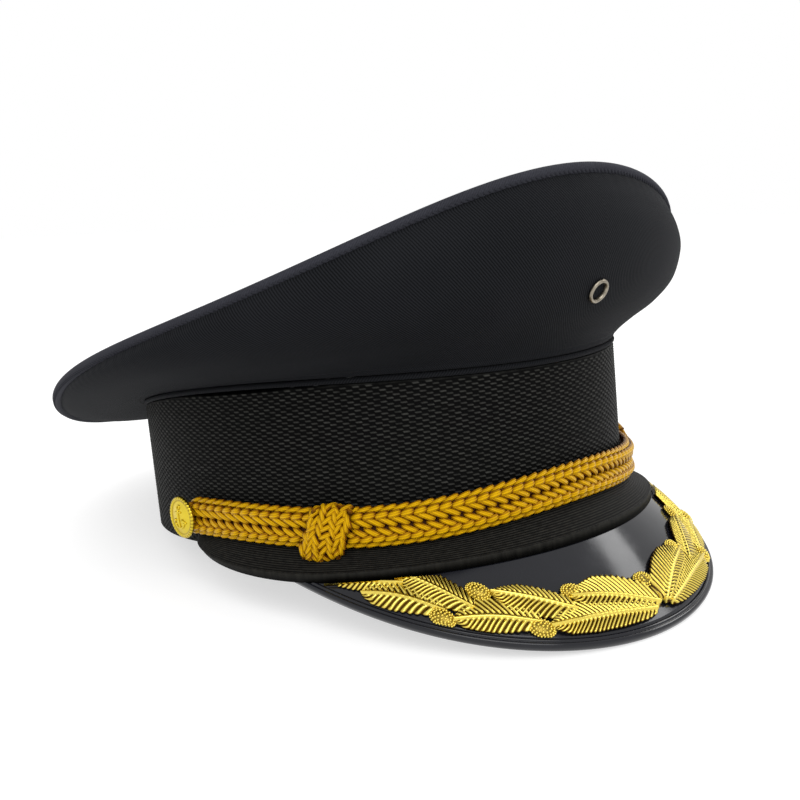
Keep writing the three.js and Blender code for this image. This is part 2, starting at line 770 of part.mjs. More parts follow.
// The lowest height of the front or back half of the cap when it is tipped nose up
function lowest(tip, front) {
  let low = Infinity;
  const vertex = new THREE.Vector3();
  cap.children.forEach((mesh) => {
    const position = mesh.geometry.attributes.position;
    for (let i = 0; i < position.count; i += 1) {
      vertex.fromBufferAttribute(position, i);
      if (vertex.y < 0 === front) {
        low = Math.min(low, vertex.z * Math.cos(tip) - vertex.y * Math.sin(tip));
      }
    }
  });
  return low;
}

// The tip at which the visor's edge and the band's back touch the floor together
function restingTip() {
  let small = 0;
  let large = quarterTurn / 2;
  for (let i = 0; i < 40; i += 1) {
    const tip = (small + large) / 2;
    if (lowest(tip, true) < lowest(tip, false)) {
      small = tip;
    } else {
      large = tip;
    }
  }
  return (small + large) / 2;
}

cap.rotation.x = -restingTip();
cap.position.z = -lowest(restingTip(), false);

// The origin is on the floor, under the middle of the whole cap
const hat = new THREE.Group();
hat.add(cap);
hat.updateMatrixWorld(true);
const bounds = new THREE.Box3().setFromObject(hat, true);
hat.position.y = -(bounds.min.y + bounds.max.y) / 2;

export default hat;
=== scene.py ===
"""A captain's peaked cap: navy twill crown, woven black band, patent visor with a gold leaf relief,
and a golden braided chin cord with a slide knot and a button on each side.

Lengths are millimetres in the cap's own frame: the front is -Y, up is +Z, the wearer's right is -X,
and the band's lower edge lies at height 0. placed() tips the cap nose up, as it rests by itself, and
turns millimetres to metres. An angle runs round the cap from the front (0) by the wearer's right
(a quarter turn) to the back.
"""
import math

import bmesh
import bpy
import numpy as np
from mathutils import Matrix, Vector


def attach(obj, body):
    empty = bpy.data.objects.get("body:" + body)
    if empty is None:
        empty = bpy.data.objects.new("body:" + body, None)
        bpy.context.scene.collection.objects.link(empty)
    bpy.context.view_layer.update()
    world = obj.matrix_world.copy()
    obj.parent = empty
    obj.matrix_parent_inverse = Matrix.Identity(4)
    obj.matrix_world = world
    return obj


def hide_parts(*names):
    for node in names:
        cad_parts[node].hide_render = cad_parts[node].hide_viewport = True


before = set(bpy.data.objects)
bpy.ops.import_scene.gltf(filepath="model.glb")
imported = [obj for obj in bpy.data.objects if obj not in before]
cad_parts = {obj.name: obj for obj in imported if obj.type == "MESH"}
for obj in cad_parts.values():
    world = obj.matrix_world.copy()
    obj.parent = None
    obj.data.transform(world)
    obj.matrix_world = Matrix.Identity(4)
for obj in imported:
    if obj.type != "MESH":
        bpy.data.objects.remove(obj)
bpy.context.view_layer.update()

# How the cap rests: nose up on the visor's edge and the back of the band
REST_TIP = 0.15018
REST_SHIFT = (0, 0.761, 15.411)
MM = 0.001

# Clearance between neighbouring pieces
GAP = 0.3

# Band: a standing oval wall of woven braid
BAND_HALF_LENGTH = 103
BAND_HALF_WIDTH = 91.3
BAND_WALL = 1.6
BAND_HEIGHTS = (50, 53, 38)  # front, side and back
BAND_FORWARD_LEAN = 0.05
BAND_COLUMNS = 286
BAND_CELL_HEIGHT = 0.95
BAND_PAD_RISE = 0.18
BAND_PAD_EDGES = (0.14, 0.86)  # where a raised pad begins and ends along its cell
BAND_EDGE = 0.6  # the plain edge along its top
BAND_PLAIN_RELIEF = 0.3  # how light the edge and the inner face are painted, from a groove's painted shade (0) to a pad's painted sheen (1)

# Piping between the band and the crown
PIPING_RADIUS = 0.9
PIPING_TUCK = 0.3

# Crown: how far its rim stands out from the band, and above the band's top edge
CROWN_FRONT_OVERHANG = 24
CROWN_SIDE_OVERHANG = 30.6
CROWN_BACK_OVERHANG = 30.6
CROWN_FRONT_FULLNESS = 9
CROWN_FRONT_RISE = 58.6
CROWN_SIDE_RISE = 12.4
CROWN_BACK_RISE = -0.8
CROWN_CHEEK_SHARE = 0.48
CROWN_HIND_SHARE = -0.06
CROWN_WALL = 1.2
CROWN_BACK_SAG = 3
CROWN_HEM_HEIGHT = 1.9  # the stitched fold above the crown's lower edge
CROWN_HEM_DEPTH = 0.3
CROWN_HEM_WIDTH = 0.5
CROWN_PUCKER_PITCH = 5.3
CROWN_PUCKER_RISE = 0.12
CROWN_PUCKER_REACH = 3  # how far below the rim the puckers fade out
CROWN_PUCKER_WANDER = 37  # over what length their pitch wanders
CROWN_SLACK = 0.35  # how far the cloth's slow waves stand in and out
CROWN_SEAM_LAP = 0.4  # how far the side runs on into the roll's seam
CROWN_INNER_CLOTH = (80, 140)  # where the inner face lies in the cloth's pattern, past the outer face

# The crown side's run from the band (first row) to the rim (last row), as shares of the overhang,
# the rise and the sag
CROWN_RUN = {
    "cheek_out": (0, 0.11, 0.32, 0.66, 0.97, 1.12, 1.1, 1),
    "cheek_up": (0, 0.07, 0.15, 0.27, 0.46, 0.71, 0.87, 1),
    "hind_out": (0, 0.1, 0.25, 0.42, 0.6, 0.78, 0.9, 1),
    "hind_sag": (0, 0.25, 0.6, 0.9, 1, 0.75, 0.4, 0),
}
CROWN_STEPS = len(CROWN_RUN["hind_sag"]) - 1

# Crown top: a domed cover with a padded roll round its rim
ROLL_RADIUS = 2.1
ROLL_TUCK = 0.9
TOP_THICKNESS = 1.4
TOP_DOME = 9
ROLL_SEAM_TURN = 2.1  # where the roll is sewn down, in radians from its crest
ROLL_SEAM_DEPTH = 0.3  # how far the sewing draws the roll in
ROLL_SEAM_WIDTH = 0.45  # of the drawn-in stretch, in radians round the roll
ROLL_PUCKER_PITCH = 1.75
ROLL_PUCKER = (2.3, 1.05, 0.75)  # how long, wide and deep
ROLL_PUCKER_SLANT = math.radians(32)
ROLL_PUCKER_SINK = 0.35  # how far in from the roll's face a pucker's middle lies
ROLL_CLOTH_START = 200  # where the roll lies in the cloth's pattern, past the cover
TOP_EDGE_SHARE = 0.985  # how far out the cover goes before it turns into the roll

# Visor
VISOR_REACH = 37.5
VISOR_DROP = 34.5
VISOR_THICKNESS = 1.8
VISOR_HALF_ANGLE = math.radians(80)
VISOR_END_SHARE = 0.82
VISOR_ROUNDING = 1.6
VISOR_CROWN = 1.2
BINDING_WIDTH = 2.6

# Ribbed strip over the visor's root
STRIP_FLARE = 10.6
STRIP_THICKNESS = 2
STRIP_COLLAR = 1.2
STRIP_KNEE = 0.25
STRIP_FULL_ANGLE = math.radians(36)
STRIP_END_ANGLE = math.radians(86)
STRIP_RIBS = 13
STRIP_RIB_RISE = 0.13
STRIP_WIDTH = 14  # along its face, in the cloth's pattern
STRIP_EDGE_SHARE = 0.93  # where its bound lower edge begins
STRIP_EDGE_RISE = 0.25
STRIP_STITCH_SHARE = 0.935
STRIP_STITCHED = 0.92  # how much of its length is stitched
STRIP_STITCH_PITCH = 1.5
STRIP_STITCH = (1.0, 0.22, 0.22)  # how long, wide and deep
STRIP_STITCH_LIFT = 0.1

# Chin cord
CORD_HEIGHT = 13
CORD_THICKNESS = 5
CORD_LEVELS = (9.4, 6.4, 11)  # at the front, half way and at the buttons
CORD_PITCH = 3.95
CORD_RUN_ON = 1.6  # how far the last strands' middles lie past the end of a stretch
CORD_FAN = 0.036  # how much the strands' backs turn up or down away from the cord's middle
CORD_CORE_STEPS = 60  # rings of the core to a radian
STRAND_PLY_DEPTH = 0.08  # the grooves between a strand's plies, as a share of its radius
STRAND_TWIST = 2.2  # how far the plies turn along a strand, in radians
STRAND_END_DIP = 0.7  # how far its ends dip in, as a share of its depth
KNOT_ANGLE = math.radians(52.8)
KNOT_LENGTH = 14.4
KNOT_HEIGHT = 19.4
KNOT_THICKNESS = 8
KNOT_DROP = 1.1
KNOT_LEAN = 0.34
KNOT_SINK = (1.4, 0.8)  # how far in from its top and its face the strands' middles lie
KNOT_WRAP = math.radians(144)  # how far up and down round the cord the strands go
BUTTON_ANGLE = math.radians(86.5)
BUTTON_LEVEL = 11
BUTTON_RADIUS = 7.5
BUTTON_RISE = 3.6
BUTTON_SHANK_RADIUS = 2.5

# The rows of strands across the cord, from the top edge down: how far up from its middle and out from
# the band, how long, wide and deep a strand is, its slant to the cord, how far its forward end dives
# in, and where in the pitch it starts
CORD_ROWS = (
    {"up": 5.6, "out": 2.5, "long": 7.4, "wide": 1.95, "deep": 2.0, "slant": 15, "dive": 5, "phase": 0},
    {"up": 3.9, "out": 4.1, "long": 6.0, "wide": 2.4, "deep": 2.3, "slant": 19, "dive": -12, "phase": 0.55},
    {"up": 1.85, "out": 3.75, "long": 8.8, "wide": 2.15, "deep": 2.1, "slant": -28, "dive": 9, "phase": 0.1},
    {"up": -1.5, "out": 3.55, "long": 7.6, "wide": 2.0, "deep": 2.0, "slant": -25, "dive": -9, "phase": 0.4},
    {"up": -3.75, "out": 4.0, "long": 6.0, "wide": 2.35, "deep": 2.3, "slant": 17, "dive": -11, "phase": 0.9},
    {"up": -5.55, "out": 2.6, "long": 7.2, "wide": 2.0, "deep": 2.0, "slant": 11, "dive": 4, "phase": 0.35},
)

# The columns of strands over a slide knot, from its forward edge back: how far along the cord, how far
# the column bulges, and how its strands slant
KNOT_COLUMNS = (
    {"along": -6.3, "swell": 0.8, "slant": -20, "phase": 0.1},
    {"along": -4.7, "swell": 0.92, "slant": 30, "phase": 0.6},
    {"along": -2.7, "swell": 1.01, "slant": -42, "phase": 0.25},
    {"along": -0.4, "swell": 1.04, "slant": 38, "phase": 0.75},
    {"along": 1.9, "swell": 1.04, "slant": -36, "phase": 0.4},
    {"along": 4.1, "swell": 0.97, "slant": 32, "phase": 0.9},
    {"along": 6.1, "swell": 0.83, "slant": -18, "phase": 0.2},
)
KNOT_PITCH = 2.5
KNOT_SEED = 5
KNOT_STRAND = (6.3, 1.8, 2.2)  # how long, wide and deep
KNOT_STRAY_ALONG = 0.8
KNOT_STRAY_SLANT = 15  # degrees
KNOT_STRAY_DIVE = 12
# The knot's core: places along it, as shares of its length, and how far it bulges there
KNOT_CORE = (
    (-0.45, 0.55), (-0.378, 0.8), (-0.18, 0.88), (0, 0.9), (0.18, 0.88), (0.378, 0.8), (0.45, 0.55),
)

# Badge eyelet
EYELET_RUN_SHARE = 0.5
EYELET_FLANGE_RADIUS = 4.3
EYELET_BARREL_RADIUS = 3.2
EYELET_HOLE_RADIUS = 2.95
EYELET_THICKNESS = 0.8
EYELET_STANDOFF = 0.4

# Leaf relief: angles are shares of the visor's half angle. The distances in from its edge, the bows of
# the midribs and the widths to their outer and inner sides are shares of its depth. The pitch is that
# of the side ribs.
LEAVES = (
    {"base": 0.006, "base_in": 0.14, "tip": 0.18, "tip_in": 0.31, "bow": 0.05,
     "outer": 0.1, "inner": 0.15, "layer": 3, "pitch": 1.7},
    {"base": 0.02, "base_in": 0.118, "tip": 0.242, "tip_in": 0.12, "bow": 0.045,
     "outer": 0.09, "inner": 0.15, "layer": 2, "pitch": 1.5},
    {"base": 0.175, "base_in": 0.22, "tip": 0.327, "tip_in": 0.33, "bow": 0.03,
     "outer": 0.13, "inner": 0.09, "layer": 2, "pitch": 1.6},
    {"base": 0.25, "base_in": 0.145, "tip": 0.407, "tip_in": 0.1, "bow": 0.04,
     "outer": 0.1, "inner": 0.13, "layer": 1, "pitch": 1.75},
    {"base": 0.362, "base_in": 0.2, "tip": 0.51, "tip_in": 0.325, "bow": 0.035,
     "outer": 0.125, "inner": 0.11, "layer": 1, "pitch": 1.5},
    {"base": 0.415, "base_in": 0.15, "tip": 0.581, "tip_in": 0.103, "bow": 0.045,
     "outer": 0.1, "inner": 0.125, "layer": 0, "pitch": 2.1},
    {"base": 0.49, "base_in": 0.27, "tip": 0.662, "tip_in": 0.113, "bow": 0,
     "outer": 0.065, "inner": 0.1, "layer": 0, "pitch": 1.6},
)
BERRIES = (
    {"at": 0, "at_in": 0.315},
    {"at": 0.165, "at_in": 0.345},
    {"at": 0.255, "at_in": 0.112},
    {"at": 0.347, "at_in": 0.325},
    {"at": 0.424, "at_in": 0.102},
)
# How wide a leaf is to each side of its midrib, from its base (0) to its tip (1)
LEAF_RUN = {
    "along": (0, 0.02, 0.15, 0.4, 0.64, 0.86, 0.98, 1),
    "outer": (0.12, 0.3, 0.65, 0.94, 1, 0.78, 0.22, 0.02),
    "inner": (0.45, 0.7, 0.9, 1, 0.9, 0.46, 0.1, 0.02),
}
LEAF_EDGE_HEIGHT = 0.6
LEAF_RIDGE_HEIGHT = 1.4
LEAF_LAYER_STEP = 0.38
LEAF_CLEAR = 3
LEAF_RIB_RISE = 0.5
# How far a side rib runs on towards the tip, to how far out it runs
LEAF_OUTER_RIB_SLOPE = 1.1
LEAF_INNER_RIB_SLOPE = 0.6
LEAF_RIB_ROWS = 8  # rows of the mesh to each rib
LEAF_RIB_START = 0.35  # how far out from the midrib the side ribs begin
LEAF_RIB_FADE = 0.5  # the width over which they reach their full depth
LEAF_TOOTH = 0.1  # how far the ribs' ends stand out, as a share of the leaf's half width
LEAF_MIDRIB_RISE = 0.3
LEAF_MIDRIB_WIDTH = 0.4
LEAF_GROOVE_DEPTH = 0.25  # the groove beside the midrib
LEAF_GROOVE_PLACE = 0.8
LEAF_GROOVE_WIDTH = 0.3
LEAF_RIM_RELIEF = 0.6  # how bright the rim is painted, from a hollow's painted shade (0) to a crest (1)
BERRY_LENGTH = 8.4
BERRY_WIDTH = 6
BERRY_HEIGHT = 1.9
BERRY_FOOT = 0.1  # the lump's upright foot, as a share of its height
BERRY_RELIEF = 0.45  # how bright the lump is painted between its beads, as painted shade
BERRY_BEAD = 0.92
BERRY_RINGS = (1, 7, 14, 20, 25)  # beads in each ring, from the top down

# The camera, fitted to the photograph in the cap's own frame
CAMERA_AZIMUTH = math.radians(39.34)
CAMERA_ELEVATION = math.radians(5.59)
CAMERA_ROLL = math.radians(-7.21)
CAMERA_DISTANCE = 400
CAMERA_TARGET = Vector((8.6234, -7.068, 36.16))
CAMERA_LENS = 42.45
SENSOR_WIDTH = 36

FLOOR_HALF = 4  # metres

# A Wave Texture of scale 1 repeats after this length
WAVE_LENGTH = math.pi / 10

TURN = 2 * math.pi


def unit(vectors):
    return vectors / np.maximum(np.linalg.norm(vectors, axis=-1, keepdims=True), 1e-9)


def mix(start, end, share):
    return start + (end - start) * share


def placed(points):
    """Points of the cap's own frame, in millimetres, to the resting cap's place in metres."""
    tip_cos, tip_sin = math.cos(REST_TIP), math.sin(REST_TIP)
    x, y, z = points[..., 0], points[..., 1], points[..., 2]
    rest = np.stack([x, y * tip_cos + z * tip_sin, z * tip_cos - y * tip_sin], axis=-1)
    return (rest + np.array(REST_SHIFT)) * MM


def placed_direction(directions):
    return (placed(directions) - placed(np.zeros(3))) / MM


def around(values, angle, radius=1.0):
    """The smooth function of the angle that takes the values at equal steps from front to back."""
    last = len(values) - 1
    steps = np.arange(last + 1)
    weights = np.where((steps == 0) | (steps == last), 0.5, 1.0)
    total = 0.0
    for order in range(last + 1):
        term = 2 / last * weights[order] * np.sum(weights * values * np.cos(math.pi * steps * order / last))
        total = total + term * radius**order * np.cos(order * np.asarray(angle))
    return total


def smooth_row(values, place):
    """A smooth curve through equally spaced values, at a place counted in steps."""
    values = np.asarray(values, dtype=float)
    padded = np.concatenate([[2 * values[0] - values[1]], values, [2 * values[-1] - values[-2]]])
    index = np.clip(np.floor(place).astype(int), 0, len(values) - 2)
    t = place - index
    before, start, end, after = (padded[index + step] for step in range(4))
    slope_in, slope_out = (end - before) / 2, (after - start) / 2
    cubic = 2 * start - 2 * end + slope_in + slope_out
    square = -3 * start + 3 * end - 2 * slope_in - slope_out
    return ((cubic * t + square) * t + slope_in) * t + start


def band_top(angle):
    return around(BAND_HEIGHTS, angle)


def beside_band(angle, out, height):
    """A point beside the band: out from its outer face and up from its lower edge."""
    angle, out, height = np.broadcast_arrays(angle, out, height)
    across = -np.sin(angle) / BAND_HALF_WIDTH
    ahead = -np.cos(angle) / BAND_HALF_LENGTH
    length = np.hypot(across, ahead)
    lean = BAND_FORWARD_LEAN * np.maximum(height, 0)
    x = -BAND_HALF_WIDTH * np.sin(angle) + out * across / length
    y = -BAND_HALF_LENGTH * np.cos(angle) + out * ahead / length - lean
    return np.stack([x, y, height], axis=-1)


def band_length(start, end):
    """The length along the band's lower edge at many angles between two."""
    angles = np.linspace(start, end, 4001)
    steps = np.linalg.norm(np.diff(beside_band(angles, 0, 0), axis=0), axis=1)
    return angles, np.concatenate([[0], np.cumsum(steps)])


def even_angles(start, end, count):
    """Angles at equal steps of length along the band."""
    angles, lengths = band_length(start, end)
    return np.interp(np.linspace(0, lengths[-1], count), lengths, angles)


def rim_height(angle, radius=1.0):
    cheek = mix(CROWN_SIDE_RISE, CROWN_FRONT_RISE, CROWN_CHEEK_SHARE)
    hind = mix(CROWN_BACK_RISE, CROWN_SIDE_RISE, CROWN_HIND_SHARE)
    rises = (CROWN_FRONT_RISE, cheek, CROWN_SIDE_RISE, hind, CROWN_BACK_RISE)
    heights = [band_top(step * math.pi / 4) + rise for step, rise in enumerate(rises)]
    return around(heights, angle, radius)


def rim_point(angle):
    ahead = np.cos(angle)
    half_width = BAND_HALF_WIDTH + CROWN_SIDE_OVERHANG + CROWN_FRONT_FULLNESS * ahead * (1 + ahead) / 2
    half_length = BAND_HALF_LENGTH + (CROWN_FRONT_OVERHANG + CROWN_BACK_OVERHANG) / 2
    set_back = (CROWN_BACK_OVERHANG - CROWN_FRONT_OVERHANG) / 2
    return np.stack([-half_width * np.sin(angle), set_back - half_length * ahead, rim_height(angle)], axis=-1)


def crown_point(angle, run):
    """A point of the crown side's outer face, at a place along its run from the band to the rim."""
    angle, run = np.broadcast_arrays(angle, run)
    place = run * CROWN_STEPS
    row = {name: smooth_row(values, place) for name, values in CROWN_RUN.items()}
    frontness = (1 + np.cos(angle)) / 2
    out = mix(row["hind_out"], row["cheek_out"], frontness)
    up = mix(row["hind_out"], row["cheek_up"], frontness)
    sag = CROWN_BACK_SAG * row["hind_sag"] * (1 - frontness)
    foot = beside_band(angle, 0, band_top(angle) + 2 * PIPING_RADIUS + 2 * GAP)
    rim = rim_point(angle)
    x = mix(foot[..., 0], rim[..., 0], out)
    y = mix(foot[..., 1], rim[..., 1], out)
    z = mix(foot[..., 2], rim[..., 2], up) - sag
    return np.stack([x, y, z], axis=-1)


def crown_normal(angle, run):
    step = 0.02
    along = crown_point(angle, np.minimum(run + step, 1)) - crown_point(angle, np.maximum(run - step, 0))
    across = crown_point(angle + step, run) - crown_point(angle - step, run)
    return unit(np.cross(along, across))


def roll_frame(angle):
    """The centre of the padded roll, and its upward and outward directions."""
    rim = crown_point(angle, 1.0)
    onward = unit(rim - crown_point(angle, 1 - 1 / CROWN_STEPS))
    face = crown_normal(angle, 1.0)
    face = unit(face - onward * np.sum(face * onward, axis=-1, keepdims=True))
    centre = rim + onward * (GAP + ROLL_RADIUS) - face * ROLL_TUCK
    along = np.cross(onward, face)
    up = unit(np.array([0, 0, 1]) - along * along[..., 2:])
    out = unit(np.cross(up, along))
    outward = np.sign(np.sum(out[..., :2] * rim[..., :2], axis=-1, keepdims=True))
    return centre, up, out * outward


def visor_share(angle):
    turn = np.clip(np.asarray(angle) / VISOR_HALF_ANGLE, -0.999, 0.999) * math.pi / 2
    return np.cos(turn) ** VISOR_ROUNDING


VISOR_DEPTH = math.hypot(VISOR_REACH, VISOR_DROP)
STEEPNESS = VISOR_DEPTH / VISOR_REACH  # turns a distance square to the visor into one straight up


def visor_height(angle, out):
    reach = VISOR_REACH * visor_share(angle)
    bulge = VISOR_CROWN * visor_share(angle) * np.sin(math.pi * np.minimum(out / reach, 1))
    return -GAP - out * VISOR_DROP / VISOR_REACH + bulge


def over_visor(angle, inward, lift):
    """A point over the visor: a distance in from its edge, lifted square off its face."""
    share = 1 - inward / (VISOR_DEPTH * visor_share(angle))
    out = VISOR_REACH * visor_share(angle) * share
    height = visor_height(angle, out)
    lift_out = lift * VISOR_DROP / VISOR_DEPTH
    lift_up = lift * VISOR_REACH / VISOR_DEPTH
    return beside_band(angle, out + lift_out, height + lift_up)


def cord_level(angle):
    return around(CORD_LEVELS, math.pi * np.minimum(np.abs(angle) / BUTTON_ANGLE, 1))


def strip_taper(angle):
    past = (np.abs(angle) - STRIP_FULL_ANGLE) / (STRIP_END_ANGLE - STRIP_FULL_ANGLE)
    return np.sqrt(1 - np.clip(past, 0, 1) ** 2)


def strip_top(angle):
    return cord_level(angle) - CORD_HEIGHT / 2 - GAP


def strip_face(angle, share):
    """The strip's outer face from the cord's lower side (share 0) to its lower edge (share 1)."""
    edge = visor_height(angle, STRIP_FLARE) + (GAP + STRIP_THICKNESS) * STEEPNESS
    out = mix(GAP + STRIP_COLLAR, mix(GAP + STRIP_COLLAR, STRIP_FLARE, share), strip_taper(angle))
    short = strip_top(angle) - STRIP_COLLAR * share
    return out, mix(short, mix(strip_top(angle), edge, share), strip_taper(angle))


def strip_back(angle, share):
    out = np.maximum(GAP, mix(GAP, STRIP_FLARE, (share - STRIP_KNEE) / (1 - STRIP_KNEE)))
    low = visor_height(angle, out) + GAP * STEEPNESS
    height = np.where(share < STRIP_KNEE, mix(strip_top(angle), low, share / STRIP_KNEE), low)
    short = strip_top(angle) - STRIP_COLLAR * share
    taper = strip_taper(angle)
    return mix(GAP, out, taper), mix(short, height, taper)


def linear(code):
    """A hex sRGB colour as linear red, green, blue and alpha."""
    parts = [int(code[place : place + 2], 16) / 255 for place in (0, 2, 4)]
    return tuple(c / 12.92 if c <= 0.04045 else ((c + 0.055) / 1.055) ** 2.4 for c in parts) + (1.0,)


def add_node(tree, kind, inputs=None, **settings):
    """Add a node with its settings, and set or link its inputs."""
    node = tree.nodes.new(kind)
    for name, value in settings.items():
        setattr(node, name, value)
    for key, value in (inputs or {}).items():
        if isinstance(value, bpy.types.NodeSocket):
            tree.links.new(value, node.inputs[key])
        else:
            node.inputs[key].default_value = value
    return node


# Camera
def point_camera():
    """The camera stands at the photograph's angle to the cap, and rolls with it."""
    back = Vector((
        -math.sin(CAMERA_AZIMUTH) * math.cos(CAMERA_ELEVATION),
        -math.cos(CAMERA_AZIMUTH) * math.cos(CAMERA_ELEVATION),
        math.sin(CAMERA_ELEVATION),
    ))
    level_right = (-back).cross(Vector((0, 0, 1))).normalized()
    level_up = level_right.cross(-back)
    right = math.cos(CAMERA_ROLL) * level_right + math.sin(CAMERA_ROLL) * level_up
    up = math.cos(CAMERA_ROLL) * level_up - math.sin(CAMERA_ROLL) * level_right
    place = placed(np.array(CAMERA_TARGET + back * CAMERA_DISTANCE))
    axes = [Vector(placed_direction(np.array(axis))) for axis in (right, up, back)]
    data = bpy.data.cameras.new("camera")
    data.lens = CAMERA_LENS
    data.sensor_width = SENSOR_WIDTH
    data.clip_start = 0.01
    camera = bpy.data.objects.new("camera", data)
    camera.matrix_world = Matrix.Translation(Vector(place)) @ Matrix(axes).transposed().to_4x4()
    bpy.context.collection.objects.link(camera)
    bpy.context.scene.camera = camera


# Meshes from grids of points
def patch(points, uv=None, relief=None, round_rows=False, round_columns=False):
    """One sheet of a mesh over a grid of points. It may close on itself along its rows or columns."""
    rows, columns = points.shape[:2]
    row, column = np.meshgrid(
        np.arange(rows if round_rows else rows - 1),
        np.arange(columns if round_columns else columns - 1),
        indexing="ij",
    )
    corners = [(row, column), (row + 1, column), (row + 1, column + 1), (row, column + 1)]
    faces = np.stack([(r % rows) * columns + c % columns for r, c in corners], axis=-1).reshape(-1, 4)
    if uv is None:
        uv = np.zeros((rows + 1, columns + 1, 2))
    corner_uv = np.stack([uv[r, c] for r, c in corners], axis=-2).reshape(-1, 2)
    if relief is None:
        relief = np.ones((rows, columns))
    return {"points": points.reshape(-1, 3), "faces": faces, "uv": corner_uv, "relief": relief.ravel()}


def capped(rings):
    """Rings of points with each end drawn together to one point."""
    first = np.broadcast_to(rings[:1].mean(axis=1, keepdims=True), rings[:1].shape)
    last = np.broadcast_to(rings[-1:].mean(axis=1, keepdims=True), rings[-1:].shape)
    return np.concatenate([first, rings, last])


def capped_uv(uv):
    return np.concatenate([uv[:1], uv, uv[-1:]])


def build(name, patches, material, place=placed):
    """A piece from its patches: doubles merged, faces turned outwards, shaded smooth."""
    starts = np.cumsum([0] + [len(part["points"]) for part in patches])
    points = place(np.concatenate([part["points"] for part in patches]))
    faces = np.concatenate([part["faces"] + start for part, start in zip(patches, starts)])
    mesh = bpy.data.meshes.new(name)
    mesh.from_pydata(points.tolist(), [], faces.tolist())
    layer = mesh.uv_layers.new(name="cloth")
    layer.data.foreach_set("uv", np.concatenate([part["uv"] for part in patches]).ravel())
    relief = mesh.attributes.new("relief", "FLOAT", "POINT")
    relief.data.foreach_set("value", np.concatenate([part["relief"] for part in patches]))
    mesh.materials.append(material)
    shape = bmesh.new()
    shape.from_mesh(mesh)
    bmesh.ops.remove_doubles(shape, verts=shape.verts, dist=2e-6)
    bmesh.ops.dissolve_degenerate(shape, edges=shape.edges, dist=1e-7)
    bmesh.ops.recalc_face_normals(shape, faces=shape.faces)
    shape.to_mesh(mesh)
    shape.free()
    mesh.shade_smooth()
    piece = bpy.data.objects.new(name, mesh)
    bpy.context.collection.objects.link(piece)
    return piece


def lathe(profile, place, axis, steps, ripple=None):
    """Points turned round an axis from rows of radius and height. A ripple changes the radius."""
    profile = np.asarray(profile, dtype=float)
    axis = unit(axis)
    side = unit(np.cross(axis, [0, 0, 1]))
    level = np.cross(side, axis)
    turn = np.linspace(0, TURN, steps, endpoint=False)[:, None]
    radius = profile[None, :, 0] + (0 if ripple is None else ripple(turn))
    height = np.broadcast_to(profile[None, :, 1], radius.shape)
    return (
        place
        + radius[..., None] * (np.cos(turn)[..., None] * side + np.sin(turn)[..., None] * level)
        + height[..., None] * axis
    )


def tube(path, radii, sides, normal):
    """A round bar along a path of points on a face with this normal."""
    path, radii = np.asarray(path, dtype=float), np.asarray(radii, dtype=float)
    tangent = unit(np.gradient(path, axis=0))
    across = unit(np.cross(tangent, normal))
    over = np.cross(across, tangent)
    turn = np.linspace(0, TURN, sides, endpoint=False)
    ring = np.cos(turn)[None, :, None] * across[:, None] + np.sin(turn)[None, :, None] * over[:, None]
    return capped(path[:, None] + radii[:, None, None] * ring)


# Geometry Nodes trees
def start_tree(name, sockets):
    """A new tree with its named inputs and its piece as output, and the sockets of its inputs."""
    tree = bpy.data.node_groups.new(name, "GeometryNodeTree")
    for label, kind in sockets:
        tree.interface.new_socket(label, in_out="INPUT", socket_type=kind)
    tree.interface.new_socket("Piece", in_out="OUTPUT", socket_type="NodeSocketGeometry")
    return tree, add_node(tree, "NodeGroupInput").outputs


def strand_tree():
    """Sets one strand on every place, turned and sized by the place's own attributes."""
    tree, given = start_tree("strands_in_place", (
        ("Piece", "NodeSocketGeometry"),
        ("Places", "NodeSocketObject"),
        ("Strand", "NodeSocketObject"),
        ("Finish", "NodeSocketMaterial"),
    ))
    places = add_node(tree, "GeometryNodeObjectInfo", {"Object": given["Places"]})
    strand = add_node(tree, "GeometryNodeObjectInfo", {"Object": given["Strand"]})
    turn = add_node(tree, "GeometryNodeInputNamedAttribute", {"Name": "turn"}, data_type="FLOAT_VECTOR")
    size = add_node(tree, "GeometryNodeInputNamedAttribute", {"Name": "size"}, data_type="FLOAT_VECTOR")
    rotation = add_node(tree, "FunctionNodeEulerToRotation", {"Euler": turn.outputs["Attribute"]})
    strands = add_node(tree, "GeometryNodeInstanceOnPoints", {
        "Points": places.outputs["Geometry"],
        "Instance": strand.outputs["Geometry"],
        "Rotation": rotation.outputs["Rotation"],
        "Scale": size.outputs["Attribute"],
    })
    real = add_node(tree, "GeometryNodeRealizeInstances", {"Geometry": strands.outputs["Instances"]})
    finished = add_node(
        tree, "GeometryNodeSetMaterial", {"Geometry": real.outputs["Geometry"], "Material": given["Finish"]}
    )
    whole = add_node(tree, "GeometryNodeJoinGeometry", {"Geometry": finished.outputs["Geometry"]})
    tree.links.new(given["Piece"], whole.inputs["Geometry"])
    add_node(tree, "NodeGroupOutput", {"Piece": whole.outputs["Geometry"]})
    return tree


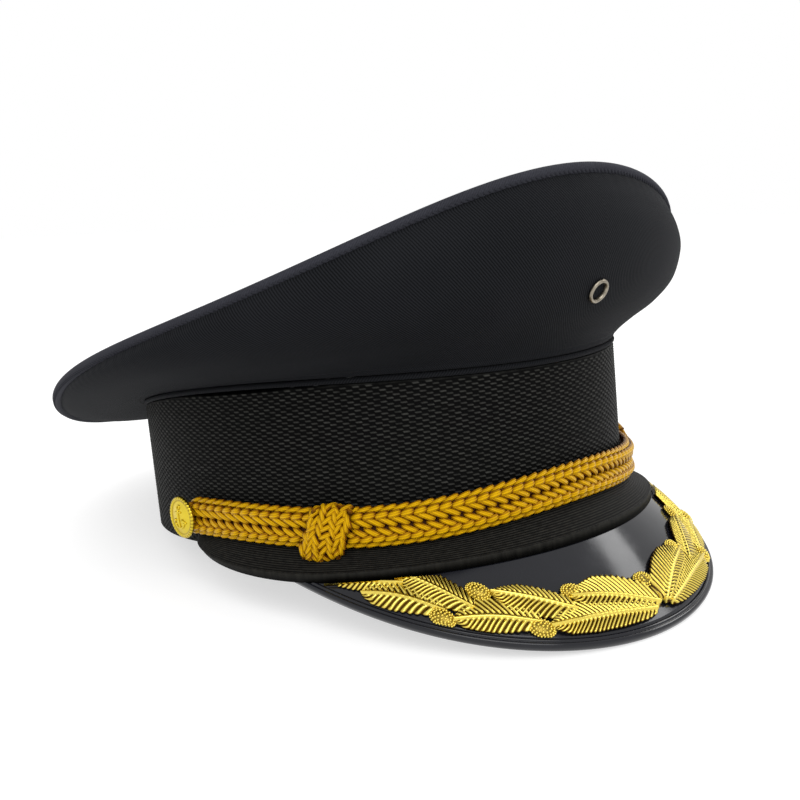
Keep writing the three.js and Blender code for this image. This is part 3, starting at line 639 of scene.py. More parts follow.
def stitch_tree():
    """Lays stitches of thread end to end along a path, each along the path's own direction."""
    tree, given = start_tree("stitches_on_path", (
        ("Piece", "NodeSocketGeometry"),
        ("Path", "NodeSocketObject"),
        ("Pitch", "NodeSocketFloat"),
        ("Stitch", "NodeSocketVector"),
        ("Finish", "NodeSocketMaterial"),
    ))
    path = add_node(tree, "GeometryNodeObjectInfo", {"Object": given["Path"]})
    curve = add_node(tree, "GeometryNodeMeshToCurve", {"Mesh": path.outputs["Geometry"]})
    even = add_node(
        tree, "GeometryNodeResampleCurve",
        {"Curve": curve.outputs["Curve"], "Length": given["Pitch"]}, mode="LENGTH",
    )
    tangent = add_node(tree, "GeometryNodeInputTangent")
    rotation = add_node(
        tree, "FunctionNodeAlignRotationToVector", {"Vector": tangent.outputs["Tangent"]}, axis="X"
    )
    thread = add_node(tree, "GeometryNodeMeshUVSphere", {"Segments": 6, "Rings": 5, "Radius": 0.5})
    stitches = add_node(tree, "GeometryNodeInstanceOnPoints", {
        "Points": even.outputs["Curve"],
        "Instance": thread.outputs["Mesh"],
        "Rotation": rotation.outputs["Rotation"],
        "Scale": given["Stitch"],
    })
    real = add_node(tree, "GeometryNodeRealizeInstances", {"Geometry": stitches.outputs["Instances"]})
    smooth = add_node(tree, "GeometryNodeSetShadeSmooth", {"Geometry": real.outputs["Geometry"]})
    finished = add_node(
        tree, "GeometryNodeSetMaterial", {"Geometry": smooth.outputs["Geometry"], "Material": given["Finish"]}
    )
    whole = add_node(tree, "GeometryNodeJoinGeometry", {"Geometry": finished.outputs["Geometry"]})
    tree.links.new(given["Piece"], whole.inputs["Geometry"])
    add_node(tree, "NodeGroupOutput", {"Piece": whole.outputs["Geometry"]})
    return tree


def grow(piece, tree, inputs):
    """Run a tree on a piece with its named inputs, and keep the result as the piece's plain mesh."""
    modifier = piece.modifiers.new(tree.name, "NODES")
    modifier.node_group = tree
    for socket in tree.interface.items_tree:
        if socket.in_out == "INPUT" and socket.name in inputs:
            modifier[socket.identifier] = inputs[socket.name]
    depsgraph = bpy.context.evaluated_depsgraph_get()
    mesh = bpy.data.meshes.new_from_object(
        piece.evaluated_get(depsgraph), preserve_all_data_layers=True, depsgraph=depsgraph
    )
    piece.modifiers.clear()
    piece.data = mesh


def scratch_object(name, points, edges=()):
    """A helper object of bare points, for a tree to read. It is removed again afterwards."""
    mesh = bpy.data.meshes.new(name)
    mesh.from_pydata(placed(points).tolist(), list(edges), [])
    helper = bpy.data.objects.new(name, mesh)
    bpy.context.collection.objects.link(helper)
    return helper


def turned_places(places, lengthways, outward, sizes):
    """Places with the turn and size that a strand takes there: its length lies along one direction,
    and its rounded back faces outwards."""
    x_axis = unit(placed_direction(lengthways))
    z_axis = placed_direction(outward)
    z_axis = unit(z_axis - x_axis * np.sum(x_axis * z_axis, axis=-1, keepdims=True))
    y_axis = np.cross(z_axis, x_axis)
    euler = np.stack([
        np.arctan2(y_axis[:, 2], z_axis[:, 2]),
        -np.arcsin(np.clip(x_axis[:, 2], -1, 1)),
        np.arctan2(x_axis[:, 1], x_axis[:, 0]),
    ], axis=-1)
    helper = scratch_object("strand_places", places)
    for label, values in (("turn", euler), ("size", sizes * MM)):
        attribute = helper.data.attributes.new(label, "FLOAT_VECTOR", "POINT")
        attribute.data.foreach_set("vector", np.ascontiguousarray(values).ravel())
    return helper


def remove(*helpers):
    for helper in helpers:
        bpy.data.objects.remove(helper, do_unlink=True)


def lay_strands(piece, tree, strand, finish, places, lengthways, outward, sizes):
    """Add a copy of a small strand or bead at each of many places to a piece."""
    helper = turned_places(places, lengthways, outward, sizes)
    grow(piece, tree, {"Places": helper, "Strand": strand, "Finish": finish})
    remove(helper)


# Finishes
def start_material(name, shader_inputs):
    """A new material with its main shader, linked to the output."""
    material = bpy.data.materials.new(name)
    material.use_nodes = True
    tree = material.node_tree
    tree.nodes.clear()
    shader = add_node(tree, "ShaderNodeBsdfPrincipled", shader_inputs)
    add_node(tree, "ShaderNodeOutputMaterial", {"Surface": shader.outputs["BSDF"]})
    return material, tree, shader


def wool_cloth(name, dark, light, line_share, line_pitch):
    """Navy wool gabardine: a dense cloth with fine raised diagonal lines, almost without shine. On the
    crown's side the lines show.
    On its top a lighter blue grey copy is used: painted light, for the roll that faces up to the lamps, and
    it nearly hides the lines. The real lines lie 0.45 mm apart; they are drawn coarser so that they show."""
    material, tree, shader = start_material(name, {
        "Roughness": 0.8,
        "Sheen Weight": 0.05,
        "Sheen Roughness": 0.4,
        "Sheen Tint": linear("a6a7ac"),
        "Specular IOR Level": 0.06,
    })
    cloth = add_node(tree, "ShaderNodeUVMap", uv_map="cloth")
    slanted = add_node(
        tree, "ShaderNodeMapping", {"Vector": cloth.outputs["UV"], "Rotation": (0, 0, math.radians(37))}
    )
    lines = add_node(tree, "ShaderNodeTexWave", {
        "Vector": slanted.outputs["Vector"],
        "Scale": WAVE_LENGTH / line_pitch,
        "Distortion": 0.6,
        "Detail": 1,
        "Detail Scale": 2,
    })
    fibre = add_node(tree, "ShaderNodeTexNoise", {
        "Vector": cloth.outputs["UV"],
        "Scale": 1.4,
        "Detail": 6,
        "Roughness": 0.7,
    })
    worn = add_node(
        tree, "ShaderNodeTexNoise", {"Vector": cloth.outputs["UV"], "Scale": 0.03, "Detail": 3}
    )
    grain = add_node(tree, "ShaderNodeMix", {
        "Factor": 1 - line_share,
        "A": lines.outputs["Fac"],
        "B": fibre.outputs["Fac"],
    })
    tone = add_node(tree, "ShaderNodeMix", {
        "Factor": 0.25,
        "A": grain.outputs["Result"],
        "B": worn.outputs["Fac"],
    })
    colour = add_node(tree, "ShaderNodeValToRGB", {"Fac": tone.outputs["Result"]})
    colour.color_ramp.elements[0].position = 0.25
    colour.color_ramp.elements[0].color = linear(dark)
    colour.color_ramp.elements[1].position = 0.75
    colour.color_ramp.elements[1].color = linear(light)
    tree.links.new(colour.outputs["Color"], shader.inputs["Base Color"])
    bump = add_node(
        tree, "ShaderNodeBump", {"Height": grain.outputs["Result"], "Strength": 0.6, "Distance": 0.0002}
    )
    tree.links.new(bump.outputs["Normal"], shader.inputs["Normal"])
    return material


def mohair_braid():
    """Black mohair braid: small raised pads of parallel threads in a honeycomb. Their colour follows the
    relief attribute: the pads are painted lighter, a dull painted sheen, and the grooves between them painted
    deep black, as painted shade."""
    material, tree, shader = start_material("black_mohair_braid", {
        "Roughness": 0.55,
        "Specular IOR Level": 0.04,
    })
    thread_pitch = 0.3
    cloth = add_node(tree, "ShaderNodeUVMap", uv_map="cloth")
    upright = add_node(
        tree, "ShaderNodeMapping", {"Vector": cloth.outputs["UV"], "Rotation": (0, 0, math.radians(90))}
    )
    threads = add_node(tree, "ShaderNodeTexWave", {
        "Vector": upright.outputs["Vector"],
        "Scale": WAVE_LENGTH / thread_pitch,
        "Distortion": 1,
        "Detail": 1,
    })
    patches = add_node(
        tree, "ShaderNodeTexNoise", {"Vector": cloth.outputs["UV"], "Scale": 0.35, "Detail": 4}
    )
    relief = add_node(tree, "ShaderNodeAttribute", attribute_name="relief")
    tone = add_node(
        tree, "ShaderNodeMath", {0: relief.outputs["Fac"], 1: patches.outputs["Fac"]}, operation="MULTIPLY"
    )
    # Painted sheen on the pads, painted shade in the grooves between them.
    colour = add_node(tree, "ShaderNodeValToRGB", {"Fac": tone.outputs["Value"]})
    colour.color_ramp.elements[0].position = 0.08
    colour.color_ramp.elements[0].color = linear("030303")
    colour.color_ramp.elements[1].position = 0.62
    colour.color_ramp.elements[1].color = linear("3a3a37")
    tree.links.new(colour.outputs["Color"], shader.inputs["Base Color"])
    bump = add_node(
        tree, "ShaderNodeBump", {"Height": threads.outputs["Fac"], "Strength": 0.4, "Distance": 0.00008}
    )
    tree.links.new(bump.outputs["Normal"], shader.inputs["Normal"])
    return material


def grosgrain():
    """Black grosgrain tape: tight ribs along its length, a soft black. Its colour follows the relief
    attribute: the faint grey lines on the ribs' crests are painted highlight, and the dark between them and
    on the tape's back is painted shade.
    """
    material, tree, shader = start_material("black_grosgrain", {
        "Roughness": 0.6,
        "Specular IOR Level": 0.06,
    })
    cloth = add_node(tree, "ShaderNodeUVMap", uv_map="cloth")
    weft = add_node(tree, "ShaderNodeTexWave", {
        "Vector": cloth.outputs["UV"],
        "Scale": WAVE_LENGTH / 0.5,
        "Distortion": 0.8,
        "Detail": 1,
    })
    dust = add_node(
        tree, "ShaderNodeTexNoise", {"Vector": cloth.outputs["UV"], "Scale": 0.5, "Detail": 6}
    )
    relief = add_node(tree, "ShaderNodeAttribute", attribute_name="relief")
    tone = add_node(
        tree, "ShaderNodeMath", {0: relief.outputs["Fac"], 1: dust.outputs["Fac"]}, operation="MULTIPLY"
    )
    # Painted highlight on the ribs' crests, painted shade between them and on the back.
    colour = add_node(tree, "ShaderNodeValToRGB", {"Fac": tone.outputs["Value"]})
    colour.color_ramp.elements[0].position = 0.1
    colour.color_ramp.elements[0].color = linear("040404")
    colour.color_ramp.elements[1].position = 0.7
    colour.color_ramp.elements[1].color = linear("2c2b27")
    tree.links.new(colour.outputs["Color"], shader.inputs["Base Color"])
    bump = add_node(
        tree, "ShaderNodeBump", {"Height": weft.outputs["Fac"], "Strength": 0.3, "Distance": 0.00008}
    )
    tree.links.new(bump.outputs["Normal"], shader.inputs["Normal"])
    return material


def patent_gloss():
    """Black patent: a smooth lacquer over a stiff sheet, near black with clear mirror reflections
    that waver a little, and fine rubbed marks."""
    material, tree, shader = start_material("black_patent_lacquer", {
        "IOR": 1.5,
        "Specular IOR Level": 0.32,
    })
    place = add_node(tree, "ShaderNodeTexCoord")
    rubbed = add_node(tree, "ShaderNodeTexNoise", {
        "Vector": place.outputs["Object"],
        "Scale": 60,
        "Detail": 8,
        "Roughness": 0.7,
    })
    roughness = add_node(tree, "ShaderNodeMapRange", {
        "Value": rubbed.outputs["Fac"],
        "From Min": 0.35,
        "From Max": 0.8,
        "To Min": 0.1,
        "To Max": 0.22,
    })
    tree.links.new(roughness.outputs["Result"], shader.inputs["Roughness"])
    tint = add_node(tree, "ShaderNodeValToRGB", {"Fac": rubbed.outputs["Fac"]})
    tint.color_ramp.elements[0].color = linear("0e0f13")
    tint.color_ramp.elements[1].color = linear("191a20")
    tree.links.new(tint.outputs["Color"], shader.inputs["Base Color"])
    waver = add_node(
        tree, "ShaderNodeTexNoise", {"Vector": place.outputs["Object"], "Scale": 45, "Detail": 2}
    )
    bump = add_node(
        tree, "ShaderNodeBump", {"Height": waver.outputs["Fac"], "Strength": 0.12, "Distance": 0.001}
    )
    tree.links.new(bump.outputs["Normal"], shader.inputs["Normal"])
    return material


def rayon_yarn():
    """Golden yellow twisted rayon: silky strands with fine lines of thread along them. The relief attribute
    says how far out a point of a strand stands, and the colour follows it: a painted highlight, bright, on
    their backs, and painted shade, red brown, where they dip between their neighbours."""
    material, tree, shader = start_material("golden_rayon_yarn", {
        "Roughness": 0.32,
        "Specular IOR Level": 0.4,
        "Specular Tint": linear("ffc93a"),
    })
    twist = add_node(tree, "ShaderNodeUVMap", uv_map="cloth")
    slanted = add_node(
        tree, "ShaderNodeMapping", {"Vector": twist.outputs["UV"], "Rotation": (0, 0, math.radians(80))}
    )
    plies = add_node(tree, "ShaderNodeTexWave", {
        "Vector": slanted.outputs["Vector"],
        "Scale": WAVE_LENGTH / 0.5,
        "Distortion": 0.7,
        "Detail": 1,
    })
    place = add_node(tree, "ShaderNodeTexCoord")
    fade = add_node(
        tree, "ShaderNodeTexNoise", {"Vector": place.outputs["Object"], "Scale": 260, "Detail": 4}
    )
    grain = add_node(tree, "ShaderNodeMix", {
        "Factor": 0.5,
        "A": plies.outputs["Fac"],
        "B": fade.outputs["Fac"],
    })
    relief = add_node(tree, "ShaderNodeAttribute", attribute_name="relief")
    tone = add_node(tree, "ShaderNodeMix", {
        "Factor": 0.3,
        "A": relief.outputs["Fac"],
        "B": grain.outputs["Result"],
    })
    colour = add_node(tree, "ShaderNodeValToRGB", {"Fac": tone.outputs["Result"]})
    # The dark red brown stops are painted shade, the bright one a painted highlight.
    for place_on_ramp, code in ((0.34, "2e0d02"), (0.58, "74440a"), (0.88, "c99c08")):
        stop = colour.color_ramp.elements.new(place_on_ramp)
        stop.color = linear(code)
    colour.color_ramp.elements.remove(colour.color_ramp.elements[0])
    colour.color_ramp.elements.remove(colour.color_ramp.elements[-1])
    tree.links.new(colour.outputs["Color"], shader.inputs["Base Color"])
    bump = add_node(
        tree, "ShaderNodeBump", {"Height": plies.outputs["Fac"], "Strength": 0.5, "Distance": 0.0002}
    )
    tree.links.new(bump.outputs["Normal"], shader.inputs["Normal"])
    return material


def core_painted_shade():
    """The core thread, painted dark red brown: painted shade that shows in the gaps between the golden
    strands.
    """
    material, tree, shader = start_material("core_thread_painted_shade", {"Roughness": 0.9})
    place = add_node(tree, "ShaderNodeTexCoord")
    fluff = add_node(
        tree, "ShaderNodeTexNoise", {"Vector": place.outputs["Object"], "Scale": 900, "Detail": 3}
    )
    colour = add_node(tree, "ShaderNodeValToRGB", {"Fac": fluff.outputs["Fac"]})
    colour.color_ramp.elements[0].color = linear("2c0e03")
    colour.color_ramp.elements[1].color = linear("5a2c06")
    tree.links.new(colour.outputs["Color"], shader.inputs["Base Color"])
    return material


def gilt(name, bright, hollow, roughness):
    """Gilt brass, stamped and lightly tarnished. Its colour follows the relief attribute, which says how far
    up a point
    stands: bright gold on what stands up, and painted shade, dark brown, in the hollows."""
    material, tree, shader = start_material(name, {"Metallic": 1.0})
    relief = add_node(tree, "ShaderNodeAttribute", attribute_name="relief")
    place = add_node(tree, "ShaderNodeTexCoord")
    tarnish = add_node(tree, "ShaderNodeTexNoise", {
        "Vector": place.outputs["Object"],
        "Scale": 350,
        "Detail": 5,
        "Roughness": 0.6,
    })
    # Painted shade: dark brown in the hollows, bright gold on the crests.
    colour = add_node(tree, "ShaderNodeValToRGB", {"Fac": relief.outputs["Fac"]})
    colour.color_ramp.elements[0].position = 0.32
    colour.color_ramp.elements[0].color = linear(hollow)
    colour.color_ramp.elements[1].position = 0.8
    colour.color_ramp.elements[1].color = linear(bright)
    tree.links.new(colour.outputs["Color"], shader.inputs["Base Color"])
    spread = add_node(tree, "ShaderNodeMapRange", {
        "Value": tarnish.outputs["Fac"],
        "From Min": 0.3,
        "From Max": 0.75,
        "To Min": roughness,
        "To Max": roughness + 0.14,
    })
    tree.links.new(spread.outputs["Result"], shader.inputs["Roughness"])
    bump = add_node(
        tree, "ShaderNodeBump", {"Height": tarnish.outputs["Fac"], "Strength": 0.15, "Distance": 0.0002}
    )
    tree.links.new(bump.outputs["Normal"], shader.inputs["Normal"])
    return material


def antique_nickel():
    """Nickel plate with a warm grey bloom, which varies its colour and roughness."""
    material, tree, shader = start_material("antique_nickel_plate", {"Metallic": 1.0})
    place = add_node(tree, "ShaderNodeTexCoord")
    bloom = add_node(
        tree, "ShaderNodeTexNoise", {"Vector": place.outputs["Object"], "Scale": 500, "Detail": 4}
    )
    colour = add_node(tree, "ShaderNodeValToRGB", {"Fac": bloom.outputs["Fac"]})
    colour.color_ramp.elements[0].position = 0.3
    colour.color_ramp.elements[0].color = linear("6e675b")
    colour.color_ramp.elements[1].position = 0.7
    colour.color_ramp.elements[1].color = linear("a39b8c")
    tree.links.new(colour.outputs["Color"], shader.inputs["Base Color"])
    spread = add_node(tree, "ShaderNodeMapRange", {
        "Value": bloom.outputs["Fac"],
        "To Min": 0.25,
        "To Max": 0.5,
    })
    tree.links.new(spread.outputs["Result"], shader.inputs["Roughness"])
    return material


def sewing_thread():
    """Black cotton sewing thread, as dark as the tape that it holds."""
    material, tree, shader = start_material("black_sewing_thread", {
        "Roughness": 0.6,
        "Specular IOR Level": 0.1,
    })
    place = add_node(tree, "ShaderNodeTexCoord")
    twist = add_node(
        tree, "ShaderNodeTexNoise", {"Vector": place.outputs["Object"], "Scale": 1500, "Detail": 2}
    )
    colour = add_node(tree, "ShaderNodeValToRGB", {"Fac": twist.outputs["Fac"]})
    colour.color_ramp.elements[0].color = linear("08080a")
    colour.color_ramp.elements[1].color = linear("1c1c1e")
    tree.links.new(colour.outputs["Color"], shader.inputs["Base Color"])
    return material


def paper_floor():
    """White studio paper: bright, even and without shine."""
    material, tree, shader = start_material("white_studio_paper", {
        "Roughness": 0.9,
        "Emission Color": linear("ffffff"),
        "Emission Strength": 0.6,
        "Specular IOR Level": 0.1,
    })
    place = add_node(tree, "ShaderNodeTexCoord")
    tooth = add_node(
        tree, "ShaderNodeTexNoise", {"Vector": place.outputs["Object"], "Scale": 40, "Detail": 4}
    )
    colour = add_node(tree, "ShaderNodeValToRGB", {"Fac": tooth.outputs["Fac"]})
    colour.color_ramp.elements[0].color = linear("b6b6b6")
    colour.color_ramp.elements[1].color = linear("bbbbbb")
    tree.links.new(colour.outputs["Color"], shader.inputs["Base Color"])
    return material


# Pieces
def crown_quarters(material):
    """The twill side of the crown, with its stitched fold over the band and small puckers at the rim."""
    angles = even_angles(0, TURN, 541)
    runs = np.linspace(0, 1, 65)
    angle, run = np.meshgrid(angles[:-1], runs, indexing="ij")
    outer = crown_point(angle, run)
    steps = np.linalg.norm(np.diff(outer, axis=1), axis=-1)
    up_the_side = np.concatenate([np.zeros((len(outer), 1)), np.cumsum(steps, axis=1)], axis=1)
    below_rim = up_the_side[:, -1:] - up_the_side
    rim = rim_point(angles)
    rim_steps = np.linalg.norm(np.diff(rim, axis=0), axis=-1)
    round_the_rim = np.concatenate([[0], np.cumsum(rim_steps)])
    hem = np.exp(-(((up_the_side - CROWN_HEM_HEIGHT) / CROWN_HEM_WIDTH) ** 2))
    wander = 3 * np.sin(round_the_rim[:-1, None] / CROWN_PUCKER_WANDER)
    pucker_wave = np.sin(TURN * round_the_rim[:-1, None] / CROWN_PUCKER_PITCH + wander)
    pucker = CROWN_PUCKER_RISE * pucker_wave * np.exp(-below_rim / CROWN_PUCKER_REACH)
    slack = CROWN_SLACK * np.sin(3 * angle + 0.7) * np.sin(5 * angle) * np.sin(math.pi * run)
    lift = pucker + slack - CROWN_HEM_DEPTH * hem
    normal = crown_normal(angle, run)
    face = outer + lift[..., None] * normal
    inner_runs = np.linspace(1, 0, 17)
    inner_angle, inner_run = np.meshgrid(angles[:-1], inner_runs, indexing="ij")
    inner = crown_point(inner_angle, inner_run) - CROWN_WALL * crown_normal(inner_angle, inner_run)
    sewn_in = CROWN_SEAM_LAP * unit(outer[:, -1] - outer[:, -2])
    face[:, -1] += sewn_in
    inner[:, 0] += sewn_in
    section = np.concatenate([face, inner], axis=1)
    inner_up = np.broadcast_to(mix(*CROWN_INNER_CLOTH, inner_runs), (len(outer), len(inner_runs)))
    across = np.concatenate([up_the_side, inner_up], axis=1)
    across = np.pad(across, ((0, 1), (0, 1)), mode="wrap")
    uv = np.stack([np.broadcast_to(round_the_rim[:, None], across.shape), across], axis=-1)
    return build("crown_side_cloth", [patch(section, uv, round_rows=True, round_columns=True)], material)


def sew(piece, stitches, path, pitch, stitch, finish):
    """Add a row of stitches along a path of points."""
    edges = [(index, index + 1) for index in range(len(path) - 1)]
    helper = scratch_object("stitch_path", path, edges)
    grow(piece, stitches, {
        "Path": helper,
        "Pitch": pitch * MM,
        "Stitch": tuple(size * MM for size in stitch),
        "Finish": finish,
    })
    remove(helper)


def crown_top(material, strands, bead):
    """The domed cover and its padded roll, sewn down above the crease in a rope of small puckers."""
    angles = even_angles(0, TURN, 541)
    angle = angles[:-1, None]
    centre, up, out = roll_frame(angle)
    crest = centre + up * ROLL_RADIUS
    rim_z = rim_height(angle)
    middle_y = (rim_point(0.0)[1] + rim_point(math.pi)[1]) / 2

    def cover(radius, depth):
        """The dome at shares of its radius, at a depth below its outer face."""
        y = mix(middle_y, crest[..., 1], radius)
        height = rim_height(angle, radius) + radius**2 * (crest[..., 2] - rim_z) + (1 - radius**2) * TOP_DOME
        return np.stack([crest[..., 0] * radius, y, height - depth], axis=-1)

    film = cover(np.linspace(0, TOP_EDGE_SHARE, 44)[None, :], 0)
    rim = rim_point(angles)
    round_the_rim = np.concatenate([[0], np.cumsum(np.linalg.norm(np.diff(rim, axis=0), axis=-1))])
    inset = math.acos((ROLL_RADIUS - TOP_THICKNESS) / ROLL_RADIUS)
    turns = np.linspace(0, TURN - inset, 30)[None, :]
    near_seam = np.exp(-(((turns - ROLL_SEAM_TURN) / ROLL_SEAM_WIDTH) ** 2))
    roll_radius = np.broadcast_to(ROLL_RADIUS - ROLL_SEAM_DEPTH * near_seam, (len(angle), turns.shape[1]))
    roll = centre + roll_radius[..., None] * (np.cos(turns)[..., None] * up + np.sin(turns)[..., None] * out)
    under = cover(np.linspace(TOP_EDGE_SHARE, 0, 20)[None, :], TOP_THICKNESS)
    section = np.concatenate([film, roll, under], axis=1)
    count = section.shape[1]
    flat_uv = section[..., :2].copy()
    flat_uv = np.concatenate([flat_uv, flat_uv[:1]], axis=0)
    roll_columns = slice(film.shape[1], film.shape[1] + turns.shape[1])
    flat_uv[:, roll_columns, 0] = round_the_rim[:, None]
    flat_uv[:, roll_columns, 1] = ROLL_CLOTH_START + ROLL_RADIUS * turns
    uv = np.concatenate([flat_uv, flat_uv[:, -1:]], axis=1)
    piece = build("crown_top_cover", [patch(section, uv[:, : count + 1], round_rows=True)], material)
    seam = even_angles(0, TURN, round(round_the_rim[-1] / ROLL_PUCKER_PITCH) + 1)[:-1]
    seam_centre, seam_up, seam_out = roll_frame(seam)
    outward = math.cos(ROLL_SEAM_TURN) * seam_up + math.sin(ROLL_SEAM_TURN) * seam_out
    places = seam_centre + (ROLL_RADIUS - ROLL_PUCKER_SINK) * outward
    onward = unit(np.roll(places, -1, axis=0) - np.roll(places, 1, axis=0))
    across = np.cross(onward, outward)
    lengthways = math.cos(ROLL_PUCKER_SLANT) * onward + math.sin(ROLL_PUCKER_SLANT) * across
    sizes = np.broadcast_to(ROLL_PUCKER, places.shape)
    lay_strands(piece, strands, bead, material, places, lengthways, outward, sizes)
    return piece


def band_piping(material):
    """The thin cloth welt between the crown and the band."""
    angles = even_angles(0, TURN, 481)
    angle = angles[:-1, None]
    turns = np.linspace(0, TURN, 13)[None, :]
    turn = turns[:, :-1]
    out = PIPING_RADIUS * np.sin(turn) - PIPING_TUCK
    level = band_top(angle) + GAP + PIPING_RADIUS
    rings = beside_band(angle, out, level + PIPING_RADIUS * np.cos(turn))
    round_the_band = np.linspace(0, band_length(0, TURN)[1][-1], len(angles))[:, None]
    uv = np.stack(np.broadcast_arrays(round_the_band, PIPING_RADIUS * turns), axis=-1)
    return build("band_welt", [patch(rings, uv, round_rows=True, round_columns=True)], material)


def band(material):
    """The standing wall of woven braid: a chequer of raised pads. Each cell of the weave has two vertices
    along it, one at the pad's crest and one in the groove above it."""
    rows = int(max(BAND_HEIGHTS) / BAND_CELL_HEIGHT) + 1
    angles, lengths = band_length(0, TURN)
    cell_length = lengths[-1] / BAND_COLUMNS
    column, edge = np.divmod(np.arange(2 * BAND_COLUMNS), 2)
    along = (column + np.array(BAND_PAD_EDGES)[edge]) * cell_length
    row, in_groove = np.divmod(np.arange(2 * rows), 2)
    heights = np.concatenate([[0], (row + 0.5 + 0.5 * in_groove) * BAND_CELL_HEIGHT])
    raised = (column[:, None] + row[None, :] + 1) % 2 * (1 - in_groove[None, :])
    raised = np.concatenate([np.zeros((len(column), 1)), raised], axis=1)
    angle = np.interp(along, lengths, angles)[:, None]
    top = band_top(angle)
    at_edge = heights[None, :] > top - BAND_EDGE
    out = BAND_PAD_RISE * np.where(at_edge, -1, 2 * raised - 1)
    outer = beside_band(angle, out, np.minimum(heights[None, :], top))
    inner_share = np.linspace(1, 0, 6)[None, :]
    inner = beside_band(angle, -BAND_WALL, top * inner_share)
    section = np.concatenate([outer, inner], axis=1)
    across = np.concatenate([heights, inner_share[0] * max(BAND_HEIGHTS), [0]])
    uv = np.stack(np.broadcast_arrays(np.append(along, lengths[-1])[:, None], across[None, :]), axis=-1)
    # The relief paints the pads light, as painted sheen, and the grooves dark, as painted shade.
    relief = np.where(at_edge, BAND_PLAIN_RELIEF, raised)
    relief = np.concatenate([relief, np.full(inner.shape[:2], BAND_PLAIN_RELIEF)], axis=1)
    return build("band_braid", [patch(section, uv, relief, round_rows=True, round_columns=True)], material)


def ribbed_strip(material, thread, stitches):
    """The flared tape over the visor's root, ribbed along its length, with a bound lower edge."""
    angles = even_angles(-STRIP_END_ANGLE, STRIP_END_ANGLE, 281)
    angle = angles[:, None]
    share = np.linspace(0, 1, 6 * STRIP_RIBS + 1)[None, :]
    out, height = strip_face(angle, share)
    rib = 0.5 + 0.5 * np.cos(TURN * share * STRIP_RIBS)
    edge = np.clip((share - STRIP_EDGE_SHARE) / 0.03, 0, 1)
    edge_rise = STRIP_EDGE_RISE * np.sqrt(np.clip((1 - share) / 0.05, 0, 1))
    rise = mix(STRIP_RIB_RISE * rib, edge_rise, edge) * strip_taper(angle)
    face = beside_band(angle, out + rise * 0.7, height + rise * 0.7)
    back_share = np.linspace(1, 0, 12)[None, :]
    back_out, back_height = strip_back(angle, back_share)
    back = beside_band(angle, back_out, back_height)
    section = np.concatenate([face, back], axis=1)
    # Painted light: the ribs' crests and the bound edge are painted lighter, and the back, under the tape, is
    # painted shade (0.2).
    relief = np.concatenate([
        np.broadcast_to(mix(rib, 0.75, edge), face.shape[:2]), np.full(back.shape[:2], 0.2)
    ], axis=1)
    relief = np.concatenate([relief[:1], relief, relief[-1:]])
    lengths = np.linspace(0, band_length(-STRIP_END_ANGLE, STRIP_END_ANGLE)[1][-1], len(angles))
    across = STRIP_WIDTH * np.concatenate([share[0], np.linspace(1, 2, back_share.size + 1)])
    uv = np.stack(np.broadcast_arrays(lengths[:, None], across[None, :]), axis=-1)
    sheet = patch(capped(section), capped_uv(uv), relief, round_columns=True)
    piece = build("visor_root_tape", [sheet], material)
    stitched = STRIP_STITCHED * STRIP_END_ANGLE
    stitch_angles = even_angles(-stitched, stitched, 400)
    stitch_out, stitch_height = strip_face(stitch_angles, STRIP_STITCH_SHARE)
    path = beside_band(stitch_angles, stitch_out + STRIP_STITCH_LIFT, stitch_height + STRIP_STITCH_LIFT)
    sew(piece, stitches, path, STRIP_STITCH_PITCH, STRIP_STITCH, thread)
    return piece


def visor(material):
    """The patent visor: a smooth sheet that slopes down and out from the band."""
    end = VISOR_HALF_ANGLE * VISOR_END_SHARE
    angle = np.linspace(-end, end, 241)[:, None]
    edge = 1 - (BINDING_WIDTH + GAP / 2) / (VISOR_DEPTH * visor_share(angle))
    share = np.linspace(0, 1, 48)[None, :]
    out = VISOR_REACH * visor_share(angle) * edge * share
    top = beside_band(angle, out, visor_height(angle, out))
    slope_out = VISOR_THICKNESS * VISOR_DROP / VISOR_DEPTH
    slope_down = VISOR_THICKNESS * VISOR_REACH / VISOR_DEPTH
    under_out = out[:, ::-3]
    under = beside_band(angle, under_out - slope_out, visor_height(angle, under_out) - slope_down)
    root = beside_band(angle, -BAND_WALL, np.array([[-GAP - VISOR_THICKNESS, -GAP]]))
    section = np.concatenate([top, under, root], axis=1)
    return build("visor_sheet", [patch(capped(section), round_columns=True)], material)


# The bound edge's section: how far in from the visor's edge and how high over its face
BINDING_SECTION = (
    (2.75, -0.15), (2.6, 0.18), (2.25, 0.36), (1.9, 0.3), (1.68, 0.02), (1.55, 0.02), (1.35, 0.28),
    (0.95, 0.4), (0.5, 0.28), (0.15, -0.15), (0, -0.8), (-0.05, -1.6), (0.05, -2.3), (0.35, -2.85),
    (0.85, -3.15), (1.4, -3.2), (1.95, -3.1), (2.4, -2.7), (2.6, -2.0), (2.6, -1.2),
)


def visor_binding(material):
    """The bound edge: a rolled outer bead and a finer one inside it."""
    end = VISOR_HALF_ANGLE * VISOR_END_SHARE
    angle = np.linspace(-end, end, 321)[:, None]
    section = np.array(BINDING_SECTION)
    rings = over_visor(angle, section[None, :, 0], section[None, :, 1])
    return build("visor_bound_edge", [patch(capped(rings), round_columns=True)], material)


def edge_scale(angle):
    """How far along the visor's edge a radian runs."""
    step = 0.01
    ends = over_visor(angle + step, 0, 0) - over_visor(angle - step, 0, 0)
    return np.linalg.norm(ends, axis=-1) / (2 * step)


